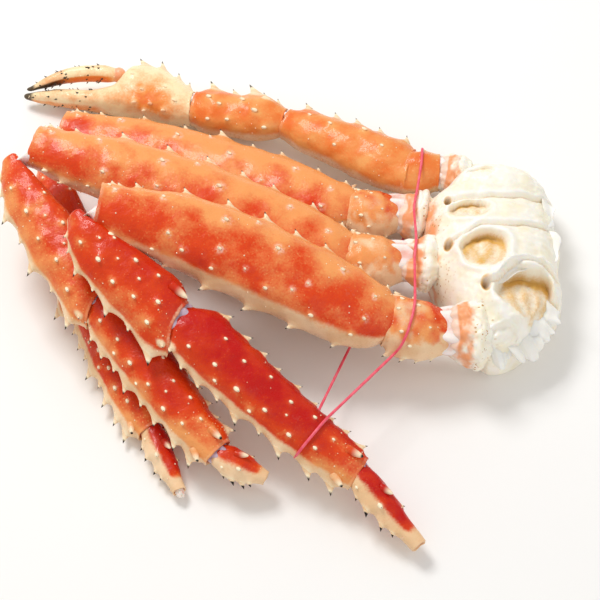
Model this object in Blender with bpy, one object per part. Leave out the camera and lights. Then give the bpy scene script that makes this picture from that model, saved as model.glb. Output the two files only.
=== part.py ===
"""King crab leg cluster: three folded walking legs and the claw arm on one shoulder.

Every limb is a chain of shell segments lofted along a skeleton.  A segment has a length,
a heading in the ground plane and a pitch, and its cross-section is a rounded oval whose
ventral half width, dorsal half width and half thickness come from a short profile.
Metres, +Z up.  The cluster rests on Z = 0, centred over the origin.
"""

import math

import bmesh
import bpy
import numpy as np
from mathutils import Vector

MM = 0.001
GAP = 0.3 * MM                 # clearance between touching pieces
SECTION_POWER = 0.86           # below 1 makes the oval section fuller at its corners
END_CROWDING = 0.45            # how much closer the rings stand near a segment's ends
SPINE_LEAN = 0.45              # how far a spine's point leans towards the limb's tip
SKIN_SHARE = 0.86              # size of the soft skin's section against the shell's
CLAW_SKIN_SHARE = 0.9          # the last skin is narrower again, because its claw is
SKIN_BULGE = 1.06              # how much wider a skin is in its middle
SHELL_SIDES = 12               # points round a large segment
SMALL_SIDES = 10               # points round a claw, a finger or an arm's hip ring
COXA_ROWS, ISCHIUM_ROWS, MERUS_ROWS, CARPUS_ROWS, PROPODUS_ROWS, CLAW_ROWS = 4, 4, 14, 9, 12, 6
ARM_HIP_ROWS, ARM_MERUS_ROWS, ARM_CARPUS_ROWS, PALM_ROWS, FINGER_ROWS = 3, 9, 7, 15, 9
BALL_COLUMNS, BALL_BANDS = 10, 6
BAND_RADIUS = 0.8 * MM

SHELL = (0.80, 0.16, 0.05)
PALE_SHELL = (0.90, 0.72, 0.42)
SKIN = (0.86, 0.62, 0.58)
MEAT = (0.92, 0.84, 0.76)
BODY = (0.90, 0.86, 0.74)
BAND = (0.85, 0.09, 0.14)

# Profiles: (fraction of length, ventral half width, dorsal half width, half thickness), mm.
COXA = [(0.00, 19, 18, 15), (0.30, 23, 22, 18), (0.55, 23, 21.5, 18), (0.80, 20, 18, 16),
        (1.00, 17, 16, 14)]
ISCHIUM = [(0.00, 15, 13, 13), (0.20, 18, 14, 15), (0.75, 20, 15, 15.5), (1.00, 15, 14.5, 13)]
MERUS = [(0.00, 13, 15, 13), (0.05, 20, 18, 15), (0.14, 24, 22, 16.5), (0.30, 24, 25.5, 17),
         (0.50, 22.5, 26, 17), (0.75, 20, 23.5, 15.5), (0.90, 16.5, 18, 13.5),
         (1.00, 13, 14.5, 11.5)]
CARPUS = [(0.00, 3, 8, 7), (0.10, 4.5, 14, 10), (0.30, 9, 20, 12.5), (0.55, 14, 21.5, 13.5),
          (0.80, 18, 21, 14), (0.94, 17, 19, 13.5), (1.00, 14, 16, 12)]
PROPODUS = [(0.00, 14, 12, 11), (0.06, 18, 14.5, 12.5), (0.22, 18, 17, 13),
            (0.50, 15.5, 16.5, 12.5), (0.75, 13, 14.5, 11), (0.93, 11, 11.5, 9.5),
            (1.00, 10, 10, 8)]
DACTYLUS = [(0.00, 7.5, 8, 7.5), (0.15, 8.5, 9, 8), (0.60, 6.5, 6.8, 6.5), (1.00, 4.8, 4.8, 4.8)]
ARM_COXA = [(0.00, 13, 13, 15), (0.40, 14, 13, 14), (1.00, 12, 11, 11)]
ARM_ISCHIUM = [(0.00, 12, 11, 11), (0.50, 15, 12, 12.5), (1.00, 15, 13, 12)]
ARM_MERUS = [(0.00, 15, 13, 12), (0.20, 17, 16, 14), (0.60, 14, 14.5, 13.5), (0.90, 12, 12, 12),
             (1.00, 10, 10, 10)]
ARM_CARPUS = [(0.00, 9, 9, 9), (0.15, 12, 12, 11.5), (0.55, 14, 12, 12.5), (0.90, 13, 12.5, 11.5),
              (1.00, 11, 11, 10)]
PALM = [(0.00, 11, 11, 10), (0.09, 11.5, 17.5, 12.5), (0.20, 10.5, 23, 14), (0.32, 8.5, 25, 14.5),
        (0.40, 8, 24, 14), (0.455, 7.5, 13, 13), (0.52, 6.5, 9.5, 11), (0.79, 4.5, 6, 8),
        (0.93, 3.5, 3.5, 5), (1.00, 2, 2, 2.5)]
FINGER = [(0.00, 4.2, 4.5, 5.5), (0.12, 5.2, 5.5, 6.5), (0.50, 4.6, 4.6, 6), (0.80, 3.2, 3.2, 4.2),
          (1.00, 1.2, 1.2, 1.5)]

# Spines: (fraction of length, degrees round from the dorsal edge towards the face, height mm).
MERUS_SPINES = [(0.10, 5, 5), (0.22, 0, 5), (0.33, 5, 6), (0.45, 0, 6), (0.58, 5, 6), (0.72, 0, 5),
                (0.16, 45, 4), (0.30, 60, 4), (0.52, 50, 4), (0.68, 60, 4), (0.84, 50, 4),
                (0.10, 100, 4), (0.40, 100, 4), (0.62, 95, 4), (0.80, 100, 4), (0.93, 85, 5),
                (0.08, 180, 4), (0.30, 175, 4), (0.48, 180, 4)]
CARPUS_SPINES = [(0.16, 5, 4), (0.30, 0, 7), (0.48, 5, 4), (0.66, 0, 7), (0.86, 0, 6),
                 (0.22, 50, 3), (0.45, 60, 4), (0.70, 55, 4), (0.34, 110, 4), (0.62, 105, 3),
                 (0.88, 80, 4), (0.90, 130, 5)]
PROPODUS_SPINES = [(0.10, 0, 5), (0.22, 5, 6), (0.36, 0, 5), (0.51, 0, 7), (0.68, 0, 6),
                   (0.84, 0, 5), (0.12, 175, 5), (0.26, 180, 4), (0.43, 180, 4), (0.57, 180, 4),
                   (0.70, 180, 3), (0.88, 180, 3), (0.20, 60, 3), (0.40, 55, 3), (0.62, 60, 3),
                   (0.30, 115, 3), (0.52, 110, 3), (0.86, 100, 3)]
DACTYLUS_SPINES = [(0.20, 10, 3), (0.45, 20, 3), (0.30, 160, 3), (0.60, 150, 3)]
ARM_MERUS_SPINES = [(0.30, 0, 5), (0.52, 0, 5), (0.70, 0, 6), (0.40, 50, 4), (0.66, 70, 4)]
ARM_CARPUS_SPINES = [(0.15, 0, 4), (0.35, 0, 7), (0.60, 0, 5), (0.85, 0, 6), (0.45, 60, 4),
                     (0.70, 80, 4)]
PALM_SPINES = [(0.08, 0, 5), (0.19, 0, 6), (0.31, 0, 6), (0.15, 70, 3), (0.28, 80, 3)]

# Limbs.  Each link is (length mm, heading deg, pitch deg); "root" is where the coxa starts.
# "lean" is the elevation of the broad faces' normal, and "turn" its heading.
FRONT = dict(
    name="front", hip_scale=0.98, meat_length=0, spine_limit=180, root=(115, -19, 34),
    lean=72, turn=-60, scale=1.0,
    coxa=(22, 178, 0), hip=(7, 176, 2), ischium=(33, 174, 6), thigh=(0.3, 168, 9),
    merus=(184, 162, 15), knee=(17.7, -156, -12), carpus=(85, -46, -16), ankle=(6, -38, -16),
    propodus=(133, -37, -15), wrist=(4, -44, -14), dactylus=(53, -50, -11))
MIDDLE = dict(
    name="middle", hip_scale=0.78, meat_length=0, spine_limit=180, root=(86, 30, 32),
    lean=76, turn=-75, scale=0.94,
    coxa=(20, 172, 0), hip=(7, 176, 2), ischium=(30, 178, 5), thigh=(0.3, 169, 6),
    merus=(204, 161, 7), knee=(16.9, -145, -6), carpus=(108, -59, -8), ankle=(5, -55, -9),
    propodus=(113, -52, -10), wrist=(6, -36, -10), dactylus=(28, -24, -10))
BACK = dict(
    name="back", hip_scale=0.76, meat_length=4, spine_limit=50, root=(83, 71, 23.5),
    lean=80, turn=-80, scale=0.88,
    coxa=(18, 170, 0), hip=(7, 176, 0), ischium=(26, 180, 1), thigh=(0.3, 170, 1),
    merus=(194, 160, -1), knee=(17, -119, -24), carpus=(115, -75, -1), ankle=(5, -70, -1),
    propodus=(90, -65.5, -1.5), wrist=(4, -65, -4), dactylus=(41, -66, -3))
WALKING_LEGS = [FRONT, MIDDLE, BACK]
LEG_LINKS = ["coxa", "hip", "ischium", "thigh", "merus", "knee", "carpus", "ankle",
             "propodus", "wrist", "dactylus"]
ARM = dict(
    name="arm", root=(106, 100, 26), lean=74, turn=-80, scale=1.0,
    coxa=(14, 168, 0), hip=(6, 172, 0), ischium=(18, 176, -1), thigh=(0.3, 164, -2),
    merus=(86, 152, -4), elbow=(4, 158, -4), carpus=(58, 166, -4), wrist=(4, 166, -2),
    palm=(108, 172, -3.5))
ARM_LINKS = ["coxa", "hip", "ischium", "thigh", "merus", "elbow", "carpus", "wrist", "palm"]
FINGER_PLACE = (0.485, 20)     # hinge: fraction along the palm, distance to its dorsal side mm
FINGER_LINK = (56, 189, -4)
HINGE_SHIFT = 1.5 * MM         # how far the hinge's skin stands back from the finger's start
FINGER_BOW = 4.5 * MM
KNEE_BALL = (9, 12, 9)         # half sizes of the soft ball at a knee, mm
FINGER_BALL = (6, 5, 5)
RIM = 1.2 * MM                 # wall of a claw where it is cut across
RECESS = 4 * MM
MEAT_INSET = 1.9               # from the claw's surface to the meat in it, mm
MEAT_RINGS = [(0.0, 1.0), (0.8, 1.05), (1.0, 0.7)]  # (share of its length, share of its width)

# Shoulder: places are measured from front to back, all in mm.
SHOULDER_ROWS = 19
SHOULDER_SIDES = 18
SHOULDER_LEFT = [(-36, 112), (-20, 102), (10, 86), (30, 79), (72, 76), (90, 92), (112, 101)]
SHOULDER_RIGHT = [(-36, 132), (-24, 146), (0, 159), (30, 160), (64, 160), (92, 154), (112, 133)]
SHOULDER_HEIGHT = [(-36, 26), (-28, 42), (-12, 54), (10, 57), (40, 56), (70, 50), (98, 44),
                   (112, 24)]
SHOULDER_LIFT = [(-36, 15), (-29, 6), (-20, 0), (100, 0), (112, 8)]
SHOULDER_SEAMS = [8, 48, 84]
SEAM_WIDTH, SEAM_DEPTH = 4.0, 5.0
SHOULDER_HOLLOWS = [(138, -12, 14, 10, 12), (112, 32, 11, 6, 8), (105, 66, 9, 4, 6)]
SHOULDER_POWER = 0.75          # below 1 makes its section boxier
SHOULDER_WAIST = 0.46          # height of its widest level, share of the height
CUT_SLOPE = 0.35               # how much lower the cut side stands, share of the height
BASE_SINK = 2.0                # how far the rounded base is flattened, mm

# Rubber band: where it crosses each limb, as (fraction, degrees round the section).
BAND_OVER_ARM = [(0.55, angle) for angle in (-95, -60, -30, 0, 30, 60, 85)]
BAND_OVER_BACK = [(0.67, 45), (0.67, 70), (0.67, 95)]
BAND_OVER_MIDDLE = [(0.82, 55), (0.82, 90)]
BAND_OVER_FRONT = [(0.62, 55), (0.64, 85), (0.70, 115), (0.77, 140), (0.84, 165)]
BAND_ROUND_SHANK = [(0.76, angle) for angle in (165, 135, 105, 75, 45, 20, 0)]
BAND_UNDER_SHANK = [(0.755, -20), (0.75, -50), (0.74, -80), (0.73, -110), (0.71, -145)]
BAND_UNDER_BACK = [(0.90, -125), (0.90, -95), (0.90, -65)]
BAND_CLEARANCE = 1.4 * MM
BAND_STEP = 24 * MM            # longest piece of a straight stretch


def clear_scene():
    for item in list(bpy.data.objects):
        bpy.data.objects.remove(item, do_unlink=True)


def make_collection(name):
    group = bpy.data.collections.new(name)
    bpy.context.scene.collection.children.link(group)
    return group


def make_material(name, colour, roughness):
    finish = bpy.data.materials.new(name)
    finish.use_nodes = True
    shader = finish.node_tree.nodes["Principled BSDF"]
    shader.inputs["Base Color"].default_value = (*colour, 1.0)
    shader.inputs["Roughness"].default_value = roughness
    shader.inputs["Metallic"].default_value = 0.0
    return finish


def direction(heading, pitch):
    """Unit vector from a heading in the ground plane and a pitch above it, degrees."""
    turn, rise = math.radians(heading), math.radians(pitch)
    return Vector((math.cos(rise) * math.cos(turn), math.cos(rise) * math.sin(turn),
                   math.sin(rise)))


def link_frame(start, link, limb):
    """Start, end and the along, dorsal and face directions of one link of a limb."""
    length, heading, pitch = link
    along = direction(heading, pitch)
    face = direction(limb["turn"], limb["lean"])
    face = (face - along * face.dot(along)).normalized()
    return dict(start=start, end=start + along * length * MM, length=length * MM,
                along=along, dorsal=along.cross(face), face=face)


def skeleton(limb, order):
    """Frames of a limb's links, laid end to end from its root."""
    frames = {}
    point = Vector(limb["root"]) * MM
    for name in order:
        frames[name] = link_frame(point, limb[name], limb)
        point = frames[name]["end"]
    return frames


def sizes_at(profile, fraction):
    """The three half sizes of a profile at a fraction of the length."""
    marks = [row[0] for row in profile]
    upper = int(np.clip(np.searchsorted(marks, fraction, side="right"), 1, len(marks) - 1))
    before, after = profile[upper - 1], profile[upper]
    blend = (fraction - before[0]) / (after[0] - before[0])
    return [low + (high - low) * blend for low, high in zip(before[1:], after[1:])]


def fuller(value, power):
    """A cosine or sine raised to a power with its sign kept."""
    return math.copysign(abs(value) ** power, value)


def surface_point(frame, profile, fraction, angle, scale, grow=0.0):
    """A point of a segment's surface, its angle turning from the dorsal edge to the face."""
    ventral, dorsal, thick = sizes_at(profile, fraction)
    across = fuller(math.cos(angle), SECTION_POWER)
    rise = fuller(math.sin(angle), SECTION_POWER)
    reach = (dorsal if across > 0 else ventral) * scale * MM + grow
    lift = thick * scale * MM + grow
    centre = frame["start"] + frame["along"] * frame["length"] * fraction
    return centre + frame["dorsal"] * reach * across + frame["face"] * lift * rise


def section(frame, profile, fraction, sides, scale, grow=0.0, bow=0.0):
    """One ring of surface points, starting on the dorsal edge and turning over the face."""
    bend = frame["dorsal"] * bow * math.sin(math.pi * fraction)
    return [surface_point(frame, profile, fraction, 2 * math.pi * side / sides, scale, grow) + bend
            for side in range(sides)]


def station(share):
    """Fraction of the length for an even share, crowded towards both ends."""
    return share - END_CROWDING * math.sin(2 * math.pi * share) / (2 * math.pi)


def loft(rings):
    """A closed body through rings of points; returns it with its rows of side faces."""
    shape = bmesh.new()
    rows = [[shape.verts.new(point) for point in ring] for ring in rings]
    count = len(rows[0])
    grid = []
    for row, following in zip(rows, rows[1:]):
        grid.append([shape.faces.new((row[k], row[(k + 1) % count],
                                      following[(k + 1) % count], following[k]))
                     for k in range(count)])
    shape.faces.new(list(reversed(rows[0])))
    shape.faces.new(rows[-1])
    bmesh.ops.recalc_face_normals(shape, faces=shape.faces)
    return shape, grid


def slide_to_plane(ring, along, origin, normal):
    """A ring whose points are slid along the segment onto a plane, for a mitred seam."""
    return [point + along * ((origin - point).dot(normal) / along.dot(normal)) for point in ring]


def segment(frame, profile, scale, rows, sides, grow=0.0, bow=0.0):
    """A limb's segment, or with grow its cutter, a little larger and longer."""
    rings = [section(frame, profile, station(row / rows), sides, scale, grow, bow)
             for row in range(rows + 1)]
    push = frame["along"] * grow
    rings[0] = [point - push for point in rings[0]]
    rings[-1] = [point + push for point in rings[-1]]
    if "start_plane" in frame:
        rings[0] = slide_to_plane(rings[0], frame["along"], *frame["start_plane"])
    if "end_plane" in frame:
        rings[-1] = slide_to_plane(rings[-1], frame["along"], *frame["end_plane"])
    return loft(rings)


def mitre(before, after):
    """Give two segments that meet tightly a shared slanting seam with a clearance."""
    normal = (before["along"] + after["along"]).normalized()
    middle = (before["end"] + after["start"]) / 2
    before["end_plane"] = (middle - normal * GAP / 2, normal)
    after["start_plane"] = (middle + normal * GAP / 2, normal)


def raise_spines(shape, grid, frame, spines, scale):
    """Pointed spines: the face nearest each place is inset and poked outwards."""
    rows, sides = len(grid), len(grid[0])
    middles = [station((row + 0.5) / rows) for row in range(rows)]
    chosen = {}
    for fraction, degrees, height in spines:
        row = min(range(1, rows - 1), key=lambda k: abs(middles[k] - fraction))
        side = int(round(degrees / 360 * sides - 0.5)) % sides
        chosen[(row, side)] = height * scale * MM
    for (row, side), height in chosen.items():
        face = grid[row][side]
        edge = min(link.calc_length() for link in face.edges)
        bmesh.ops.inset_individual(shape, faces=[face], thickness=edge * 0.2, depth=0)
        tip = bmesh.ops.poke(shape, faces=[face], offset=height)["verts"][0]
        tip.co = tip.co + frame["along"] * height * SPINE_LEAN


def bridge(before, before_profile, after, after_profile, scale, sides):
    """Soft skin between the facing ends of two segments, bulging a little in the middle."""
    first = section(before, before_profile, 1.0, sides, scale * SKIN_SHARE)
    last = section(after, after_profile, 0.0, sides, scale * SKIN_SHARE)
    first = [point + before["along"] * GAP for point in first]
    last = [point - after["along"] * GAP for point in last]
    centre = sum(first + last, Vector()) / (2 * sides)
    middle = [(one + two) / 2 for one, two in zip(first, last)]
    middle = [centre + (point - centre) * SKIN_BULGE for point in middle]
    return loft([first, middle, last])[0]


def ball(centre, radii, frame, columns, bands):
    """An ellipsoid turned to a segment's along, dorsal and face directions."""
    shape = bmesh.new()
    bmesh.ops.create_uvsphere(shape, u_segments=columns, v_segments=bands, radius=1.0)
    for vert in shape.verts:
        along, dorsal, face = vert.co
        vert.co = (centre + frame["along"] * along * radii[0] + frame["dorsal"] * dorsal * radii[1]
                   + frame["face"] * face * radii[2])
    return shape


def finish(name, shape, group, material):
    """Turn a bmesh into a named, smooth-shaded object, flat where it meets the ground."""
    for vert in shape.verts:
        vert.co.z = max(vert.co.z, 0.0)
    bmesh.ops.recalc_face_normals(shape, faces=shape.faces)
    mesh = bpy.data.meshes.new(name)
    shape.to_mesh(mesh)
    shape.free()
    mesh.materials.append(material)
    mesh.shade_smooth()
    mesh.set_sharp_from_angle(angle=math.radians(50))
    item = bpy.data.objects.new(name, mesh)
    group.objects.link(item)
    return item


def cutter(name, shape, group, material):
    item = finish(name, shape, group, material)
    item.hide_render = True
    item.display_type = "WIRE"
    return item


def cut(item, tool):
    change = item.modifiers.new("cut_" + tool.name, "BOOLEAN")
    change.operation = "DIFFERENCE"
    change.object = tool


def add_segment(title, frame, profile, scale, rows, sides, spines, group, material):
    shape, grid = segment(frame, profile, scale, rows, sides, bow=frame.get("bow", 0.0))
    raise_spines(shape, grid, frame, spines, scale)
    return finish(title, shape, group, material)


def add_joint_ball(title, centre, radii, frame, neighbours, group, tools, finishes):
    """A soft ball at a sharp bend, cut back by slightly larger copies of its two shells."""
    item = finish(title, ball(centre, radii, frame, BALL_COLUMNS, BALL_BANDS), group, finishes["skin"])
    for number, (link, profile, scale, rows, sides) in enumerate(neighbours):
        shape = segment(link, profile, scale, rows, sides, GAP, link.get("bow", 0.0))[0]
        cut(item, cutter(title + "_cutter_" + str(number), shape, tools, finishes["skin"]))
    return item


def build_walking_leg(leg, group, tools, finishes):
    """One walking leg from its hip ring to its cut claw; returns its hip ring's frame."""
    name, scale = leg["name"] + "_", leg["scale"]
    bones = skeleton(leg, LEG_LINKS)
    mitre(bones["ischium"], bones["merus"])
    hip_scale = leg["hip_scale"]
    shell, skin, meat = finishes["shell"], finishes["skin"], finishes["meat"]
    add_segment(name + "coxa", bones["coxa"], COXA, hip_scale, COXA_ROWS, SHELL_SIDES, [], group,
                meat)
    finish(name + "hip_skin", bridge(bones["coxa"], ring_end(COXA, hip_scale / scale),
                                     bones["ischium"], ISCHIUM, scale, SMALL_SIDES), group, skin)
    add_segment(name + "ischium", bones["ischium"], ISCHIUM, scale, ISCHIUM_ROWS, SHELL_SIDES, [],
                group, shell)
    add_segment(name + "merus", bones["merus"], MERUS, scale, MERUS_ROWS, SHELL_SIDES,
                MERUS_SPINES, group, shell)
    add_segment(name + "carpus", bones["carpus"], CARPUS, scale, CARPUS_ROWS, SHELL_SIDES,
                CARPUS_SPINES, group, shell)
    knee = (bones["merus"]["end"] + bones["carpus"]["start"]) / 2
    add_joint_ball(name + "knee_skin", knee, [size * scale * MM for size in KNEE_BALL],
                   bones["merus"],
                   [(bones["merus"], MERUS, scale, MERUS_ROWS, SHELL_SIDES),
                    (bones["carpus"], CARPUS, scale, CARPUS_ROWS, SHELL_SIDES)],
                   group, tools, finishes)
    finish(name + "ankle_skin", bridge(bones["carpus"], CARPUS, bones["propodus"], PROPODUS, scale,
                                       SMALL_SIDES), group, skin)
    shank_spines = [spine for spine in PROPODUS_SPINES if spine[1] <= leg["spine_limit"]]
    add_segment(name + "propodus", bones["propodus"], PROPODUS, scale, PROPODUS_ROWS,
                SHELL_SIDES, shank_spines, group, shell)
    finish(name + "claw_skin", bridge(bones["propodus"], PROPODUS, bones["dactylus"], DACTYLUS,
                                      scale * CLAW_SKIN_SHARE, SMALL_SIDES), group, skin)
    add_cut_claw(name, bones["dactylus"], scale, leg["meat_length"], group, shell, meat)
    return bones["coxa"]


def ring_end(profile, ratio):
    """A profile with every half size multiplied, for a skin between unlike scales."""
    return [(row[0], *(size * ratio for size in row[1:])) for row in profile]


def add_cut_claw(name, frame, scale, meat_length, group, shell, meat):
    """The last claw, cut across: a recess in its end, with meat standing in it or not."""
    shape, grid = segment(frame, DACTYLUS, scale, CLAW_ROWS, SMALL_SIDES)
    raise_spines(shape, grid, frame, DACTYLUS_SPINES, scale)
    cap = max((face for face in shape.faces if len(face.verts) == SMALL_SIDES),
              key=lambda face: face.calc_center_median().dot(frame["along"]))
    bmesh.ops.inset_individual(shape, faces=[cap], thickness=RIM, depth=0)
    bmesh.ops.inset_individual(shape, faces=[cap], thickness=RIM * 0.2, depth=0)
    bmesh.ops.translate(shape, verts=cap.verts, vec=-frame["along"] * RECESS)
    finish(name + "dactylus", shape, group, shell)
    if meat_length > 0:
        inner = [(row[0], *(size - MEAT_INSET for size in row[1:])) for row in DACTYLUS]
        ring = section(frame, inner, 1.0, SMALL_SIDES, scale)
        base = frame["end"] - frame["along"] * (RECESS - GAP)
        length = RECESS - GAP + meat_length * MM
        rings = [[base + (point - frame["end"]) * width + frame["along"] * length * share
                  for point in ring] for share, width in MEAT_RINGS]
        finish(name + "cut_meat", loft(rings)[0], group, meat)


def build_arm(arm, group, tools, finishes):
    """The claw arm, its palm with the fixed finger, and the movable finger hinged on it."""
    bones = skeleton(arm, ARM_LINKS)
    mitre(bones["ischium"], bones["merus"])
    pale, shell, skin = finishes["pale"], finishes["shell"], finishes["skin"]
    add_segment("arm_coxa", bones["coxa"], ARM_COXA, 1, ARM_HIP_ROWS, SMALL_SIDES, [], group,
                finishes["meat"])
    finish("arm_hip_skin", bridge(bones["coxa"], ARM_COXA, bones["ischium"], ARM_ISCHIUM, 1,
                                  SMALL_SIDES), group, skin)
    add_segment("arm_ischium", bones["ischium"], ARM_ISCHIUM, 1, ARM_HIP_ROWS, SMALL_SIDES, [],
                group, pale)
    add_segment("arm_merus", bones["merus"], ARM_MERUS, 1, ARM_MERUS_ROWS, SHELL_SIDES,
                ARM_MERUS_SPINES, group, shell)
    finish("arm_elbow_skin", bridge(bones["merus"], ARM_MERUS, bones["carpus"], ARM_CARPUS, 1,
                                    SMALL_SIDES), group, skin)
    add_segment("arm_carpus", bones["carpus"], ARM_CARPUS, 1, ARM_CARPUS_ROWS, SHELL_SIDES,
                ARM_CARPUS_SPINES, group, shell)
    finish("arm_wrist_skin", bridge(bones["carpus"], ARM_CARPUS, bones["palm"], PALM, 1,
                                    SMALL_SIDES), group, skin)
    palm = bones["palm"]
    add_segment("arm_palm", palm, PALM, 1, PALM_ROWS, SHELL_SIDES, PALM_SPINES, group, pale)
    fraction, side = FINGER_PLACE
    hinge = palm["start"] + palm["along"] * palm["length"] * fraction + palm["dorsal"] * side * MM
    finger = link_frame(hinge, FINGER_LINK, arm)
    finger["bow"] = FINGER_BOW
    add_segment("arm_finger", finger, FINGER, 1, FINGER_ROWS, SMALL_SIDES, [], group, pale)
    add_joint_ball("arm_finger_skin", hinge - palm["along"] * HINGE_SHIFT,
                   [size * MM for size in FINGER_BALL], finger,
                   [(palm, PALM, 1, PALM_ROWS, SHELL_SIDES),
                    (finger, FINGER, 1, FINGER_ROWS, SMALL_SIDES)], group, tools, finishes)
    return bones["coxa"]


def shoulder_size(table, place):
    """A size along the shoulder, read between its stations, metres."""
    marks = np.array([row[0] for row in table], dtype=float)
    sizes = np.array([row[1] for row in table], dtype=float)
    return float(np.interp(place, marks, sizes)) * MM


def dip(distance, width):
    """A bell curve, 1 at no distance."""
    return math.exp(-(distance / width) ** 2)


def build_shoulder(group, finishes):
    """The lobed half body that carries the limbs, with its open chambers on the cut side."""
    front, back = SHOULDER_LEFT[0][0], SHOULDER_LEFT[-1][0]
    rings = []
    for row in range(SHOULDER_ROWS + 1):
        place = front + (back - front) * station(row / SHOULDER_ROWS)
        left, right = shoulder_size(SHOULDER_LEFT, place), shoulder_size(SHOULDER_RIGHT, place)
        height = shoulder_size(SHOULDER_HEIGHT, place)
        lift = shoulder_size(SHOULDER_LIFT, place)
        pinch = sum(dip(place - seam, SEAM_WIDTH) for seam in SHOULDER_SEAMS)
        ring = []
        for side in range(SHOULDER_SIDES):
            angle = 2 * math.pi * side / SHOULDER_SIDES
            across = fuller(math.cos(angle), SHOULDER_POWER)
            rise = fuller(math.sin(angle), SHOULDER_POWER)
            x = (left + right) / 2 + (right - left) / 2 * across
            level = SHOULDER_WAIST + (1 - SHOULDER_WAIST) * rise
            z = lift + (height - lift) * level - BASE_SINK * MM
            if rise > 0:
                z -= pinch * SEAM_DEPTH * MM * rise
                z -= height * CUT_SLOPE * max(0.0, across) ** 2
                for hollow_x, hollow_y, width, length, depth in SHOULDER_HOLLOWS:
                    bowl = dip(x / MM - hollow_x, width) * dip(place - hollow_y, length)
                    z -= depth * MM * rise * bowl
            ring.append(Vector((x, place * MM, z)))
        rings.append(ring)
    return finish("shoulder", loft(rings)[0], group, finishes["body"])


def touch(frame, profile, scale, place):
    """A point of the band's centre line just clear of a segment's surface."""
    fraction, degrees = place
    return surface_point(frame, profile, fraction, math.radians(degrees), scale,
                         BAND_RADIUS + BAND_CLEARANCE)


def band_route():
    """The band's closed route: round the arm, over three hips, round the front leg's shank."""
    arm, back = skeleton(ARM, ARM_LINKS), skeleton(BACK, LEG_LINKS)
    middle, front = skeleton(MIDDLE, LEG_LINKS), skeleton(FRONT, LEG_LINKS)
    corners = [touch(arm["ischium"], ARM_ISCHIUM, 1, place) for place in BAND_OVER_ARM]
    corners += [touch(back["coxa"], COXA, BACK["hip_scale"], place) for place in BAND_OVER_BACK]
    corners += [touch(middle["coxa"], COXA, MIDDLE["hip_scale"], place)
                for place in BAND_OVER_MIDDLE]
    corners += [touch(front["ischium"], ISCHIUM, 1, place) for place in BAND_OVER_FRONT]
    corners += [touch(front["propodus"], PROPODUS, 1, place)
                for place in BAND_ROUND_SHANK + BAND_UNDER_SHANK]
    corners += [touch(back["coxa"], COXA, BACK["hip_scale"], place) for place in BAND_UNDER_BACK]
    route = []
    for number, corner in enumerate(corners):
        following = corners[(number + 1) % len(corners)]
        pieces = max(1, math.ceil((following - corner).length / BAND_STEP))
        route += [corner.lerp(following, piece / pieces) for piece in range(pieces)]
    return route


def build_band(group, material):
    """A thin rubber band stretched round the hips and the front leg's long lower segment."""
    curve = bpy.data.curves.new("rubber_band", "CURVE")
    curve.dimensions = "3D"
    curve.bevel_depth = BAND_RADIUS
    curve.bevel_resolution = 2
    curve.use_fill_caps = True
    route = band_route()
    line = curve.splines.new("POLY")
    line.points.add(len(route) - 1)
    for spot, point in zip(line.points, route):
        spot.co = (*point, 1.0)
    line.use_cyclic_u = True
    curve.materials.append(material)
    item = bpy.data.objects.new("rubber_band", curve)
    group.objects.link(item)
    return item


def centre_on_ground(items):
    """Hang the parts from an empty that centres the whole over the origin."""
    bpy.context.view_layer.update()
    depsgraph = bpy.context.evaluated_depsgraph_get()
    corners = []
    for item in items:
        ready = item.evaluated_get(depsgraph)
        shape = ready.to_mesh()
        corners += [ready.matrix_world @ vert.co for vert in shape.vertices]
        ready.to_mesh_clear()
    low = [min(corner[axis] for corner in corners) for axis in range(3)]
    high = [max(corner[axis] for corner in corners) for axis in range(3)]
    anchor = bpy.data.objects.new("cluster_origin", None)
    bpy.context.scene.collection.objects.link(anchor)
    anchor.location = (-(low[0] + high[0]) / 2, -(low[1] + high[1]) / 2, -low[2])
    for item in bpy.data.objects:
        if item is not anchor:
            item.parent = anchor


def main():
    clear_scene()
    parts = make_collection("king_crab_leg_cluster")
    tools = make_collection("cutters")
    finishes = {
        "shell": make_material("cooked_shell", SHELL, 0.32),
        "pale": make_material("pale_shell", PALE_SHELL, 0.35),
        "skin": make_material("joint_skin", SKIN, 0.45),
        "meat": make_material("crab_meat", MEAT, 0.5),
        "body": make_material("shoulder_body", BODY, 0.45),
        "band": make_material("rubber", BAND, 0.4)}
    shoulder = build_shoulder(parts, finishes)
    sockets = [(build_walking_leg(leg, parts, tools, finishes), COXA, leg["hip_scale"],
                COXA_ROWS, SHELL_SIDES) for leg in WALKING_LEGS]
    sockets.append((build_arm(ARM, parts, tools, finishes), ARM_COXA, 1, ARM_HIP_ROWS,
                    SMALL_SIDES))
    for number, (frame, profile, scale, rows, sides) in enumerate(sockets):
        shape = segment(frame, profile, scale, rows, sides, grow=GAP)[0]
        cut(shoulder, cutter("socket_" + str(number), shape, tools, finishes["body"]))
    build_band(parts, finishes["band"])
    centre_on_ground(parts.objects)


main()
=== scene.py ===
"""King crab leg cluster: boiled shells, soft joints, cut shoulder and rubber band.

Every hard segment is a ring grid on its limb's skeleton, with mounds and spines raised on it.
Sizes in the tables are millimetres and degrees; the meshes are metres in the frame's space.
"""

import math

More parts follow.
